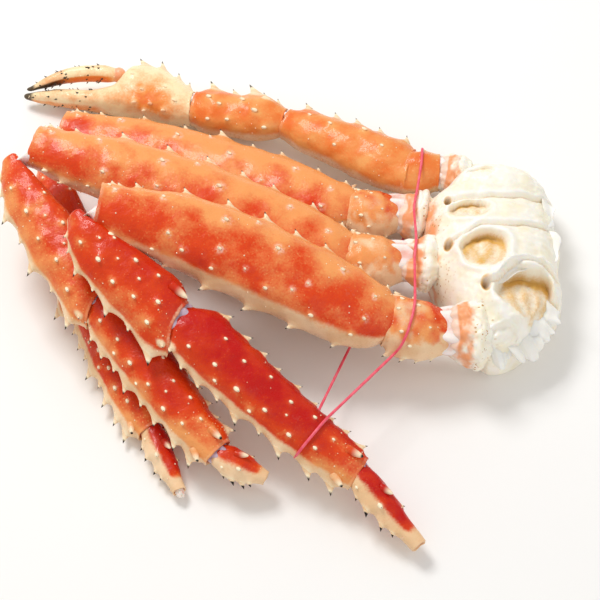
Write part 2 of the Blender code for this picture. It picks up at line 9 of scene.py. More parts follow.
import bpy
import numpy as np
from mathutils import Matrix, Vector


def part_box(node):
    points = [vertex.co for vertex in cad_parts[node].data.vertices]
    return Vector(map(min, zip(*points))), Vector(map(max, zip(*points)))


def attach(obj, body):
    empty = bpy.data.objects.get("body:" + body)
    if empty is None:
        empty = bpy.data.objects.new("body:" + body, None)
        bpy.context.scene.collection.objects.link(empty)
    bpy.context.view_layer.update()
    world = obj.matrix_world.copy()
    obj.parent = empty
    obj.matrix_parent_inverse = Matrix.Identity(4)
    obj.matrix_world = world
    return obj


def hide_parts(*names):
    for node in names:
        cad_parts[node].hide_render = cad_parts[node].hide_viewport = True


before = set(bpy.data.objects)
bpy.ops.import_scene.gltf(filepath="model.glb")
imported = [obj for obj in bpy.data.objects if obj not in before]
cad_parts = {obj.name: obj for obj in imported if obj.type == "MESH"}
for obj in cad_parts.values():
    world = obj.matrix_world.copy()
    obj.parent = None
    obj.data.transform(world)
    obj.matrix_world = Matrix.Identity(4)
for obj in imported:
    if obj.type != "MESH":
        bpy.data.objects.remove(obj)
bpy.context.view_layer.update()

bl_info = {
    "name": "King crab leg cluster",
    "version": (1, 0, 0),
    "blender": (4, 5, 0),
    "location": "View3D > Sidebar > Crab",
    "description": "Builds a boiled king crab half cluster, its rubber band and a plain studio",
    "category": "Object",
}

MM = 0.001
SECTION_POWER = 0.86           # below 1 makes the oval section fuller at its corners
END_CROWDING = 0.45            # how much closer the rings stand near a segment's ends
SPINE_LEAN = 0.45              # how far a spine's point leans towards the limb's tip

# Profiles: (fraction of length, ventral half width, dorsal half width, half thickness).
COXA = [(0.00, 19, 18, 15), (0.30, 23, 22, 18), (0.55, 23, 21.5, 18), (0.80, 20, 18, 16),
        (1.00, 17, 16, 14)]
ISCHIUM = [(0.00, 15, 13, 13), (0.20, 18, 14, 15), (0.75, 20, 15, 15.5), (1.00, 15, 14.5, 13)]
MERUS = [(0.00, 13, 15, 13), (0.05, 20, 18, 15), (0.14, 24, 22, 16.5), (0.30, 24, 25.5, 17),
         (0.50, 22.5, 26, 17), (0.75, 20, 23.5, 15.5), (0.90, 16.5, 18, 13.5),
         (1.00, 13, 14.5, 11.5)]
CARPUS = [(0.00, 3, 8, 7), (0.10, 4.5, 14, 10), (0.30, 9, 20, 12.5), (0.55, 14, 21.5, 13.5),
          (0.80, 18, 21, 14), (0.94, 17, 19, 13.5), (1.00, 14, 16, 12)]
PROPODUS = [(0.00, 14, 12, 11), (0.06, 18, 14.5, 12.5), (0.22, 18, 17, 13),
            (0.50, 15.5, 16.5, 12.5), (0.75, 13, 14.5, 11), (0.93, 11, 11.5, 9.5),
            (1.00, 10, 10, 8)]
DACTYLUS = [(0.00, 7.5, 8, 7.5), (0.15, 8.5, 9, 8), (0.60, 6.5, 6.8, 6.5), (1.00, 4.8, 4.8, 4.8)]
ARM_COXA = [(0.00, 13, 13, 15), (0.40, 14, 13, 14), (1.00, 12, 11, 11)]
ARM_ISCHIUM = [(0.00, 12, 11, 11), (0.50, 15, 12, 12.5), (1.00, 15, 13, 12)]
ARM_MERUS = [(0.00, 15, 13, 12), (0.20, 17, 16, 14), (0.60, 14, 14.5, 13.5), (0.90, 12, 12, 12),
             (1.00, 10, 10, 10)]
ARM_CARPUS = [(0.00, 9, 9, 9), (0.15, 12, 12, 11.5), (0.55, 14, 12, 12.5), (0.90, 13, 12.5, 11.5),
              (1.00, 11, 11, 10)]
PALM = [(0.00, 11, 11, 10), (0.09, 11.5, 17.5, 12.5), (0.20, 10.5, 23, 14), (0.32, 8.5, 25, 14.5),
        (0.40, 8, 24, 14), (0.455, 7.5, 13, 13), (0.52, 6.5, 9.5, 11), (0.79, 4.5, 6, 8),
        (0.93, 3.5, 3.5, 5), (1.00, 2, 2, 2.5)]
FINGER = [(0.00, 4.2, 4.5, 5.5), (0.12, 5.2, 5.5, 6.5), (0.50, 4.6, 4.6, 6), (0.80, 3.2, 3.2, 4.2),
          (1.00, 1.2, 1.2, 1.5)]

# Spines: (fraction of length, degrees round from the dorsal edge towards the face, height).
MERUS_SPINES = [(0.04, 10, 4), (0.15, 0, 5), (0.28, 5, 5), (0.38, 0, 5.5), (0.49, 5, 7),
                (0.62, 0, 5.5), (0.76, 5, 5), (0.90, 0, 5),
                (0.08, 75, 3), (0.21, 60, 3.5), (0.43, 73, 4), (0.62, 61, 4), (0.82, 50, 3),
                (0.955, 3, 3.5), (0.975, 22, 3), (0.985, 38, 2.5), (0.965, 52, 2.5),
                (0.60, 99, 3), (0.77, 107, 3), (0.30, 95, 1.5), (0.52, 35, 2), (0.09, 110, 3),
                (0.11, 143, 3), (0.25, 138, 4), (0.42, 127, 4), (0.60, 136, 4), (0.71, 128, 3.5),
                (0.80, 150, 3), (0.88, 168, 4), (0.94, 155, 6), (0.34, 113, 2), (0.50, 112, 2),
                (0.14, 178, 5), (0.29, 176, 6), (0.44, 180, 7), (0.59, 178, 6), (0.74, 180, 4),
                (0.18, -50, 4), (0.40, -60, 4), (0.64, -55, 4), (0.30, -110, 3), (0.55, -120, 3),
                (0.80, -100, 3)]
CARPUS_SPINES = [(0.08, 10, 4), (0.17, 0, 4), (0.30, 0, 8), (0.48, 5, 4.5), (0.64, 0, 9),
                 (0.78, 5, 4), (0.92, 0, 9), (0.97, 28, 4),
                 (0.20, 50, 3), (0.38, 60, 4.5), (0.56, 52, 4), (0.72, 62, 4), (0.86, 48, 4),
                 (0.33, 110, 3), (0.55, 104, 4), (0.74, 112, 3), (0.86, 84, 4),
                 (0.46, 84, 2), (0.66, 86, 2.5), (0.26, 84, 2), (0.30, -60, 4), (0.62, -70, 4),
                 (0.85, -50, 4), (0.50, -120, 3), (0.80, -130, 3)]
PROPODUS_SPINES = [(0.04, 20, 5), (0.12, 5, 5), (0.22, 0, 6), (0.33, 5, 5), (0.44, 0, 8),
                   (0.56, 5, 5), (0.67, 0, 8), (0.82, 0, 8), (0.93, -8, 9),
                   (0.13, 175, 6), (0.26, 178, 5), (0.36, 175, 4), (0.45, 178, 4), (0.57, 175, 4),
                   (0.67, 178, 4), (0.77, 175, 4), (0.86, 178, 4), (0.95, 172, 6),
                   (0.10, 60, 4), (0.24, 68, 4), (0.38, 56, 5), (0.53, 60, 4), (0.68, 48, 5),
                   (0.80, 62, 4), (0.20, 112, 3), (0.33, 104, 3), (0.46, 116, 3), (0.60, 102, 3),
                   (0.72, 114, 3), (0.84, 104, 3), (0.28, 38, 3), (0.48, 34, 3),
                   (0.62, 80, 2), (0.25, -60, 4), (0.50, -70, 4), (0.75, -60, 4), (0.40, -120, 3),
                   (0.70, -130, 3)]
DACTYLUS_SPINES = [(0.16, 8, 3.5), (0.34, 12, 5.5), (0.56, 5, 5), (0.72, 12, 3.5), (0.42, 62, 5),
                   (0.10, 40, 2.5), (0.55, 170, 2), (0.62, -40, 3)]
ISCHIUM_SPINES = [(0.85, 40, 4), (0.90, 75, 4), (0.80, 112, 4), (0.55, 60, 3), (0.62, 140, 3),
                  (0.20, 172, 4), (0.42, 178, 4), (0.68, 172, 5), (0.90, 178, 5), (0.30, 100, 2),
                  (0.95, 10, 5), (0.60, 5, 3)]
ARM_MERUS_SPINES = [(0.10, 8, 6), (0.32, 0, 6), (0.50, 5, 5), (0.68, 0, 6), (0.90, 5, 7),
                    (0.40, 50, 4), (0.66, 70, 4), (0.22, 78, 3), (0.84, 60, 3), (0.55, 110, 3)]
ARM_CARPUS_SPINES = [(0.10, 0, 6), (0.36, 0, 9), (0.60, 0, 6), (0.84, 0, 9), (0.22, 30, 4),
                     (0.46, 60, 5), (0.70, 84, 4), (0.30, 90, 5), (0.58, 118, 4), (0.84, 70, 5),
                     (0.16, 128, 4), (0.80, 125, 4)]
PALM_SPINES = [(0.03, 0, 5), (0.10, 0, 6), (0.20, 0, 7), (0.315, 0, 8), (0.15, 70, 3),
               (0.28, 80, 3), (0.36, 55, 3), (0.22, 108, 4), (0.08, 90, 3), (0.32, 112, 3),
               (0.14, 122, 4), (0.26, 135, 3)]

# Limbs.  Each link is (length, heading, pitch); "root" is where the coxa starts.
# "lean" is the elevation of the broad faces' normal, and "turn" its heading.
FRONT = dict(
    name="front", hip_scale=0.98, root=(115, -19, 34), lean=72, turn=-60, scale=1.0,
    fade=0.0, merus_fade=0.0, knee_drop=5.0, knee_hood=4.5,
    coxa=(22, 178, 0), hip=(7, 176, 2), ischium=(33, 174, 6), thigh=(0.3, 168, 9),
    merus=(184, 162, 15), knee=(17.7, -156, -12), carpus=(85, -46, -16), ankle=(6, -38, -16),
    propodus=(133, -37, -15), wrist=(4, -44, -14), dactylus=(53, -50, -11))
MIDDLE = dict(
    name="middle", hip_scale=0.78, root=(86, 30, 32), lean=76, turn=-75, scale=0.94,
    fade=0.27, merus_fade=0.13, knee_drop=2.0, knee_hood=0.5,
    coxa=(20, 172, 0), hip=(7, 176, 2), ischium=(30, 178, 5), thigh=(0.3, 169, 6),
    merus=(204, 161, 7), knee=(16.9, -145, -6), carpus=(108, -59, -8), ankle=(5, -55, -9),
    propodus=(113, -52, -10), wrist=(6, -36, -10), dactylus=(28, -24, -10))
BACK = dict(
    name="back", hip_scale=0.76, root=(83, 71, 23.5), lean=80, turn=-80, scale=0.88,
    fade=0.08, merus_fade=0.15, knee_drop=1.0, knee_hood=1.0,
    coxa=(18, 170, 0), hip=(7, 176, 0), ischium=(26, 180, 1), thigh=(0.3, 170, 1),
    merus=(194, 160, -1), knee=(17, -119, -24), carpus=(115, -75, -1), ankle=(5, -70, -1),
    propodus=(90, -65.5, -1.5), wrist=(4, -65, -4), dactylus=(41, -66, -3))
WALKING_LEGS = [FRONT, MIDDLE, BACK]
LEG_LINKS = ["coxa", "hip", "ischium", "thigh", "merus", "knee", "carpus", "ankle",
             "propodus", "wrist", "dactylus"]
ARM = dict(
    name="arm", hip_scale=1.0, root=(106, 100, 26), lean=74, turn=-80, scale=1.0,
    coxa=(14, 168, 0), hip=(6, 172, 0), ischium=(18, 176, -1), thigh=(0.3, 164, -2),
    merus=(86, 152, -4), elbow=(4, 158, -4), carpus=(58, 166, -4), wrist=(4, 166, -2),
    palm=(108, 172, -3.5))
ARM_LINKS = ["coxa", "hip", "ischium", "thigh", "merus", "elbow", "carpus", "wrist", "palm"]
FINGER_PLACE = (0.485, 20)     # hinge: fraction along the palm, distance to its dorsal side
FINGER_LINK = (56, 189, -4)
FINGER_BOW = 4.5

# Shoulder: (distance from front to back, size).
SHOULDER_LEFT = [(-36, 112), (-20, 102), (10, 86), (30, 79), (72, 76), (90, 92), (112, 101)]
SHOULDER_RIGHT = [(-36, 120), (-26, 131), (-14, 144), (2, 157), (30, 160), (64, 160), (92, 154), (112, 133)]
SHOULDER_HEIGHT = [(-36, 26), (-28, 42), (-12, 54), (10, 57), (40, 56), (70, 50), (98, 44),
                   (112, 24)]
SHOULDER_LIFT = [(-36, 15), (-29, 6), (-20, 0), (100, 0), (112, 8)]
CUT_SLOPE = 0.35               # how much lower the cut side stands, share of the height
BASE_SINK = 2.0                # how far the rounded base is flattened

# Rubber band: where it crosses each limb, as (fraction, degrees round the section).
BAND_OVER_ARM = [(0.55, angle) for angle in (-95, -60, -30, 0, 30, 60, 85)]
BAND_OVER_BACK = [(0.67, 45), (0.67, 70), (0.67, 95)]
BAND_OVER_MIDDLE = [(0.82, 55), (0.82, 90)]
BAND_OVER_FRONT = [(0.62, 55), (0.64, 85), (0.70, 115), (0.77, 140), (0.84, 165)]
BAND_ROUND_SHANK = [(0.76, angle) for angle in (165, 135, 105, 75, 45, 20, 0)]
BAND_UNDER_SHANK = [(0.755, -20), (0.75, -50), (0.74, -80), (0.73, -110), (0.71, -145)]
BAND_UNDER_BACK = [(0.90, -125), (0.90, -95), (0.90, -65)]
BAND_RADIUS = 0.8
BAND_CLEARANCE = 1.4
BAND_STEP = 24                 # longest piece of a straight stretch


def linear(code):
    """An sRGB hex colour as the linear red, green and blue that Blender works in."""
    channels = [int(code[place:place + 2], 16) / 255 for place in (1, 3, 5)]
    return tuple(c / 12.92 if c <= 0.04045 else ((c + 0.055) / 1.055) ** 2.4 for c in channels)


def smoothstep(low, high, value):
    """0 below low, 1 above high, and an S-shaped blend between them."""
    share = np.clip((value - low) / (high - low), 0.0, 1.0)
    return share * share * (3 - 2 * share)


def dip(distance, width):
    """A bell curve, 1 at no distance."""
    return np.exp(-(distance / width) ** 2)


def toward(angle, centre):
    """1 where an angle in radians points to a centre in degrees, 0 on the far side."""
    return 0.5 + 0.5 * np.cos(angle - math.radians(centre))


def smooth_curve(marks, values, places):
    """Cubic pieces through (mark, value) pairs, each with the weighted mean of its two slopes."""
    marks, values = np.asarray(marks, float), np.asarray(values, float)
    steps = np.diff(marks)
    slopes = np.diff(values) / steps
    tilt = np.empty_like(values)
    tilt[0], tilt[-1] = slopes[0], slopes[-1]
    tilt[1:-1] = (slopes[:-1] * steps[1:] + slopes[1:] * steps[:-1]) / (steps[:-1] + steps[1:])
    tilt[1:-1] = np.where(slopes[:-1] * slopes[1:] < 0, 0.0, tilt[1:-1])
    piece = np.clip(np.searchsorted(marks, places, side="right") - 1, 0, len(steps) - 1)
    step = steps[piece]
    t = (places - marks[piece]) / step
    return ((2 * t ** 3 - 3 * t ** 2 + 1) * values[piece] + (t ** 3 - 2 * t ** 2 + t) * step * tilt[piece]
            + (3 * t ** 2 - 2 * t ** 3) * values[piece + 1] + (t ** 3 - t ** 2) * step * tilt[piece + 1])


def ripple(points, size, seed, waves=9):
    """Smooth irregular field near -1 to 1: sine waves about one size long, in random headings."""
    draw = np.random.default_rng(seed)
    ways = draw.normal(size=(waves, 3))
    ways /= np.linalg.norm(ways, axis=1)[:, None] * draw.uniform(0.7, 1.4, waves)[:, None] * size * MM
    phase = draw.uniform(0, 2 * math.pi, waves)
    return np.sin(points @ ways.T * 2 * math.pi + phase).mean(axis=-1) * math.sqrt(waves) * 0.8


def unit(vectors):
    return vectors / np.maximum(np.linalg.norm(vectors, axis=-1, keepdims=True), 1e-12)


def direction(heading, pitch):
    """Unit vector from a heading in the ground plane and a pitch above it, degrees."""
    turn, rise = math.radians(heading), math.radians(pitch)
    return np.array([math.cos(rise) * math.cos(turn), math.cos(rise) * math.sin(turn),
                     math.sin(rise)])


def link_frame(start, link, limb):
    """Start, end and the along, dorsal and face directions of one link of a limb."""
    length, heading, pitch = link
    along = direction(heading, pitch)
    face = direction(limb["turn"], limb["lean"])
    face = unit(face - along * face.dot(along))
    return dict(start=start, end=start + along * length * MM, length=length * MM,
                along=along, dorsal=np.cross(along, face), face=face)


def skeleton(limb, order):
    """Frames of a limb's links, laid end to end from its root."""
    bones = {}
    point = np.array(limb["root"]) * MM + ORIGIN
    for name in order:
        bones[name] = link_frame(point, limb[name], limb)
        point = bones[name]["end"]
    return bones


def section_offset(bone, angle, ventral, dorsal, thick):
    """Offset from a section's centre: a rounded oval, half widths times cosine and sine powers."""
    across, rise = np.cos(angle), np.sin(angle)
    across = np.sign(across) * np.abs(across) ** SECTION_POWER
    rise = np.sign(rise) * np.abs(rise) ** SECTION_POWER
    reach = np.where(across > 0, dorsal, ventral) * MM
    return ((reach * across)[..., None] * bone["dorsal"]
            + (thick * MM * rise)[..., None] * bone["face"])


def touch(bone, profile, scale, place):
    """A point of the band's centre line just clear of a segment's surface."""
    fraction, degrees = place
    marks = [row[0] for row in profile]
    clear = BAND_RADIUS + BAND_CLEARANCE
    sizes = [np.interp(fraction, marks, [row[k] for row in profile]) * scale + clear
             for k in (1, 2, 3)]
    centre = bone["start"] + bone["along"] * bone["length"] * fraction
    return centre + section_offset(bone, np.array(math.radians(degrees)), *sizes)


def band_corners():
    """Where the band touches each limb, in order round its closed route."""
    arm, back = skeleton(ARM, ARM_LINKS), skeleton(BACK, LEG_LINKS)
    middle, front = skeleton(MIDDLE, LEG_LINKS), skeleton(FRONT, LEG_LINKS)
    corners = [touch(arm["ischium"], ARM_ISCHIUM, 1, place) for place in BAND_OVER_ARM]
    corners += [touch(back["coxa"], COXA, BACK["hip_scale"], place) for place in BAND_OVER_BACK]
    corners += [touch(middle["coxa"], COXA, MIDDLE["hip_scale"], place)
                for place in BAND_OVER_MIDDLE]
    corners += [touch(front["ischium"], ISCHIUM, 1, place) for place in BAND_OVER_FRONT]
    corners += [touch(front["propodus"], PROPODUS, 1, place)
                for place in BAND_ROUND_SHANK + BAND_UNDER_SHANK]
    corners += [touch(back["coxa"], COXA, BACK["hip_scale"], place) for place in BAND_UNDER_BACK]
    return np.array(corners)


def find_origin():
    """Where the tables' zero stands in the frame: the band's box there against the band here."""
    low, high = (np.array(corner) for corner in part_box("rubber_band"))
    corners = band_corners()
    shift = (low + high) / 2 - (corners.min(axis=0) + corners.max(axis=0)) / 2
    shift[2] = 0.0
    return shift


ORIGIN = np.zeros(3)
ORIGIN = find_origin()


# ---- meshes -------------------------------------------------------------------------------


def grid_normals(grid):
    """Outward normals of a ring grid: the cross product of its row step and its ring step."""
    lengthwise = np.gradient(grid, axis=0)
    around = np.roll(grid, -1, axis=1) - np.roll(grid, 1, axis=1)
    return unit(np.cross(lengthwise, around))


def tube_faces(rows, sides):
    """Quads between neighbouring rings, and a fan to one pole at each end."""
    index = np.arange(rows * sides).reshape(rows, sides)
    beside = np.roll(index, -1, axis=1)
    quads = np.stack([index[:-1], index[1:], beside[1:], beside[:-1]], axis=-1).reshape(-1, 4)
    first = np.stack([index[0], beside[0], np.full(sides, rows * sides)], axis=-1)
    last = np.stack([beside[-1], index[-1], np.full(sides, rows * sides + 1)], axis=-1)
    return quads, np.concatenate([first, last])


def tube(grid, marks):
    """A closed patch from a ring grid; each pole is the mean of its end ring."""
    rows, sides = grid.shape[:2]
    quads, fans = tube_faces(rows, sides)
    points = np.concatenate([grid.reshape(-1, 3), grid[0].mean(axis=0)[None],
                             grid[-1].mean(axis=0)[None]])
    flat = {}
    for name, values in marks.items():
        values = np.broadcast_to(values, (rows, sides))
        flat[name] = np.concatenate([values.reshape(-1), [values[0].mean(), values[-1].mean()]])
    return dict(points=points, quads=quads, fans=fans, marks=flat)


def sheet(grid, thickness, marks):
    """A closed thin slab: the grid pushed both ways along its normals, joined round its edge."""
    rows, columns = grid.shape[:2]
    normal = unit(np.cross(np.gradient(grid, axis=0), np.gradient(grid, axis=1)))
    half = normal * thickness * MM / 2
    ring = np.concatenate([grid + half, (grid - half)[:, ::-1]], axis=1)
    flat = {name: np.concatenate([np.broadcast_to(values, (rows, columns)),
                                  np.broadcast_to(values, (rows, columns))[:, ::-1]], axis=1)
            for name, values in marks.items()}
    index = np.arange(rows * 2 * columns).reshape(rows, 2 * columns)
    beside = np.roll(index, -1, axis=1)
    sides = np.stack([index[:-1], index[1:], beside[1:], beside[:-1]], axis=-1).reshape(-1, 4)
    front, rear = index[:, :columns], index[:, columns:][:, ::-1]
    start = np.stack([front[0, :-1], front[0, 1:], rear[0, 1:], rear[0, :-1]], axis=-1)
    end = np.stack([front[-1, 1:], front[-1, :-1], rear[-1, :-1], rear[-1, 1:]], axis=-1)
    return dict(points=ring.reshape(-1, 3), quads=np.concatenate([sides, start, end]),
                fans=np.zeros((0, 3), int),
                marks={name: values.reshape(-1) for name, values in flat.items()})


def cones(bases, faces, axes, along, heights, lengths, widths, sinks, marks, blunt=0.15, rings=11, sides=14,
          power=1.6):
    """Closed cones on an oval foot: a power of the height left, mixed with a rounded quarter circle.

    Rings lie across the face direction and move along the axis, so a leaning cone's foot stays
    in the surface.  Each starts a sink below its base; marks hold a value for each cone and ring.
    """
    share = np.linspace(0, 1, rings)
    outline = (1 - blunt) * (1 - share) ** power + blunt * np.sqrt(np.maximum(1 - share ** 2, 0.0))
    turn = np.linspace(0, 2 * math.pi, sides, endpoint=False)
    first = unit(along - faces * (faces @ along)[:, None])
    second = np.cross(first, faces)
    rise = ((heights + sinks)[:, None] * share - sinks[:, None])
    reach = lengths[:, None, None] * outline[:, None] * np.cos(turn) * MM
    spread = widths[:, None, None] * outline[:, None] * np.sin(turn) * MM
    grid = (bases[:, None, None] + axes[:, None, None] * (rise * MM)[:, :, None, None]
            + first[:, None, None] * reach[..., None] + second[:, None, None] * spread[..., None])
    return [tube(grid[number], {name: values[number][:, None] for name, values in marks.items()})
            for number in range(len(bases))]


def join(patches):
    """One patch from several; a mark that a patch lacks is 0 there."""
    names = sorted({name for part in patches for name in part["marks"]})
    starts = np.cumsum([0] + [len(part["points"]) for part in patches])
    marks = {name: np.concatenate([part["marks"].get(name, np.zeros(len(part["points"])))
                                   for part in patches]) for name in names}
    return dict(points=np.concatenate([part["points"] for part in patches]),
                quads=np.concatenate([part["quads"] + s for part, s in zip(patches, starts)]),
                fans=np.concatenate([part["fans"] + s for part, s in zip(patches, starts)]),
                marks=marks)


def add_piece(name, patches, material, nodes):
    """A smooth mesh object from patches, riding the frame in place of its CAD nodes."""
    whole = join(patches)
    mesh = bpy.data.meshes.new(name)
    corners = np.concatenate([whole["quads"].reshape(-1), whole["fans"].reshape(-1)])
    fours, threes = len(whole["quads"]), len(whole["fans"])
    starts = np.concatenate([np.arange(fours) * 4, fours * 4 + np.arange(threes) * 3])
    mesh.vertices.add(len(whole["points"]))
    mesh.vertices.foreach_set("co", whole["points"].astype(np.float32).reshape(-1))
    mesh.loops.add(len(corners))
    mesh.loops.foreach_set("vertex_index", corners.astype(np.int32))
    mesh.polygons.add(fours + threes)
    mesh.polygons.foreach_set("loop_start", starts.astype(np.int32))
    mesh.update(calc_edges=True)
    if mesh.validate():
        raise RuntimeError("the mesh of " + name + " has faults")
    for mark, values in whole["marks"].items():
        layer = mesh.attributes.new(mark, "FLOAT", "POINT")
        layer.data.foreach_set("value", values.astype(np.float32))
    mesh.shade_smooth()
    mesh.materials.append(material)
    piece = bpy.data.objects.new(name, mesh)
    bpy.context.scene.collection.objects.link(piece)
    low, high = whole["points"].min(axis=0), whole["points"].max(axis=0)
    for node in nodes:
        box = np.array([list(corner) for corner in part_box(node)])
        if np.any(low > box[1]) or np.any(high < box[0]):
            raise RuntimeError(name + " lies apart from " + node)
    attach(piece, "root")
    if nodes:
        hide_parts(*nodes)
    return piece


# ---- materials ----------------------------------------------------------------------------


def new_material(name):
    """An empty node material and its shader."""
    old = bpy.data.materials.get(name)
    if old:
        bpy.data.materials.remove(old)
    material = bpy.data.materials.new(name)
    material.use_nodes = True
    return material, material.node_tree.nodes["Principled BSDF"]


def add_node(material, kind, links=(), **settings):
    """One node with its settings; links are (input, value or socket) pairs."""
    tree = material.node_tree
    item = tree.nodes.new(kind)
    for key, value in settings.items():
        setattr(item, key, value)
    for key, value in links:
        if isinstance(value, bpy.types.NodeSocket):
            tree.links.new(value, item.inputs[key])
        else:
            item.inputs[key].default_value = value
    return item


def rgba(colour):
    return (*colour, 1.0)


def mark_of(material, name):
    return add_node(material, "ShaderNodeAttribute", attribute_name=name).outputs["Fac"]


def noise(material, size, detail=2.0, roughness=0.5):
    """A noise with features about size millimetres wide, on object coordinates."""
    place = add_node(material, "ShaderNodeTexCoord").outputs["Object"]
    return add_node(material, "ShaderNodeTexNoise", [
        ("Vector", place), ("Scale", 1 / (size * MM)), ("Detail", detail),
        ("Roughness", roughness)]).outputs["Fac"]


def band_pass(material, value, low, high, bottom=0.0, top=1.0):
    """A value stretched smoothly from low..high to bottom..top."""
    return add_node(material, "ShaderNodeMapRange", [
        ("Value", value), ("From Min", low), ("From Max", high), ("To Min", bottom),
        ("To Max", top)], interpolation_type="SMOOTHSTEP").outputs["Result"]


def sums(material, operation, one, two):
    return add_node(material, "ShaderNodeMath", [(0, one), (1, two)], operation=operation,
                    use_clamp=False).outputs[0]


def blend(material, share, one, two):
    """Colour one where share is 0 and colour two where it is 1."""
    mixer = add_node(material, "ShaderNodeMix", data_type="RGBA")
    for key, value in ((0, share), (6, one), (7, two)):
        if isinstance(value, bpy.types.NodeSocket):
            material.node_tree.links.new(value, mixer.inputs[key])
        else:
            mixer.inputs[key].default_value = value
    return mixer.outputs[2]


def ramp(material, value, stops):
    """A colour ramp through (place, colour) stops."""
    item = add_node(material, "ShaderNodeValToRGB", [("Fac", value)])
    stripes = item.color_ramp.elements
    stripes[0].position, stripes[0].color = stops[0][0], rgba(stops[0][1])
    stripes[1].position, stripes[1].color = stops[-1][0], rgba(stops[-1][1])
    for place, colour in stops[1:-1]:
        stripes.new(place).color = rgba(colour)
    return item.outputs["Color"]


def add_bump(material, shader, height, strength, distance):
    bump = add_node(material, "ShaderNodeBump", [
        ("Height", height), ("Strength", strength), ("Distance", distance * MM)])
    material.node_tree.links.new(bump.outputs["Normal"], shader.inputs["Normal"])


def set_inputs(shader, **values):
    for name, value in values.items():
        shader.inputs[name.replace("_", " ")].default_value = value


def boiled_shell(name, light, middle, deep, looks):
    """Boiled crab shell: a thin hard coat over pigment that thins out to cream at the edges."""
    material, shader = new_material(name)
    link = material.node_tree.links.new
    broad = noise(material, 11, 3.0, 0.55)
    fine = noise(material, 1.3, 2.0, 0.6)
    clouds = noise(material, 26, 2.0)
    red = sums(material, "ADD", mark_of(material, "red"), band_pass(material, broad, 0.3, 0.7, -0.10, 0.10))
    red = sums(material, "ADD", red, band_pass(material, clouds, 0.3, 0.7, -0.09, 0.09))
    red = sums(material, "ADD", red, band_pass(material, fine, 0.3, 0.7, -0.06, 0.06))
    # Grains about 2.5 mm apart in which the pigment is thinner.
    place = add_node(material, "ShaderNodeTexCoord").outputs["Object"]
    cells = add_node(material, "ShaderNodeTexVoronoi", [
        ("Vector", place), ("Scale", 1 / (2.4 * MM)), ("Randomness", 1.0)]).outputs["Distance"]
    grains = sums(material, "MULTIPLY", band_pass(material, cells, 0.28, 0.06), mark_of(material, "grain"))
    red = sums(material, "SUBTRACT", red, sums(material, "MULTIPLY", grains, 0.45))
    colour = ramp(material, red, [(0.0, light), (0.46, middle), (1.0, deep)])
    # Painted highlight: pale pink glints beside the knobs, broken up by noise.
    painted_glint = band_pass(material, noise(material, 2.2, 3.0, 0.6), 0.42, 0.62)
    painted_glint = sums(material, "MULTIPLY", painted_glint, mark_of(material, "bloom"))
    colour = blend(material, painted_glint, colour, rgba(looks.bloom))
    # The pale edge strip, with a ragged border.
    pale = sums(material, "ADD", mark_of(material, "cream"), band_pass(material, broad, 0.3, 0.7, -0.18, 0.18))
    pale = sums(material, "ADD", pale, band_pass(material, fine, 0.3, 0.7, -0.08, 0.08))
    pale = band_pass(material, pale, 0.14, 0.92)
    cream = blend(material, band_pass(material, clouds, 0.35, 0.65), rgba(looks.cream), rgba(looks.tan))
    colour = blend(material, pale, colour, cream)
    colour = blend(material, mark_of(material, "spine"), colour, rgba(looks.spine))
    colour = blend(material, mark_of(material, "inside"), colour, rgba(looks.inside))
    colour = blend(material, mark_of(material, "dark"), colour, rgba(looks.tip))
    link(colour, shader.inputs["Base Color"])
    link(band_pass(material, fine, 0.3, 0.7, 0.24, 0.40), shader.inputs["Roughness"])
    set_inputs(shader, IOR=1.5, Specular_IOR_Level=0.20, Coat_Weight=0.15, Coat_Roughness=0.06,
               Subsurface_Weight=0.04, Subsurface_Radius=(0.9, 0.35, 0.2), Subsurface_Scale=2.0 * MM)
    relief = sums(material, "ADD", sums(material, "MULTIPLY", noise(material, 0.9, 2.0), 0.5),
                  sums(material, "ADD", sums(material, "MULTIPLY", noise(material, 3.2, 2.0), 1.5),
                       sums(material, "MULTIPLY", grains, 0.7)))
    add_bump(material, shader, relief, 0.7, 0.35)
    return material


def soft_skin(name, light, dark, looks):
    """Joint membrane: thin wet skin in long folds, slightly see-through."""
    material, shader = new_material(name)
    link = material.node_tree.links.new
    cloudy = noise(material, 6, 3.0, 0.6)
    fold = sums(material, "ADD", mark_of(material, "fold"), band_pass(material, cloudy, 0.3, 0.7, -0.2, 0.2))
    # Painted shade: the troughs between the folds take the darker colour and the crests the light one.
    colour = blend(material, band_pass(material, fold, 0.1, 0.9), rgba(dark), rgba(light))
    colour = blend(material, mark_of(material, "orange"), colour, rgba(looks.peach))
    link(colour, shader.inputs["Base Color"])
    link(band_pass(material, cloudy, 0.3, 0.7, 0.28, 0.48), shader.inputs["Roughness"])
    set_inputs(shader, IOR=1.42, Coat_Weight=0.3, Coat_Roughness=0.2, Subsurface_Weight=0.35,
               Subsurface_Radius=(1.0, 0.5, 0.4), Subsurface_Scale=3.0 * MM)
    add_bump(material, shader, noise(material, 1.2, 3.0), 0.4, 0.3)
    return material


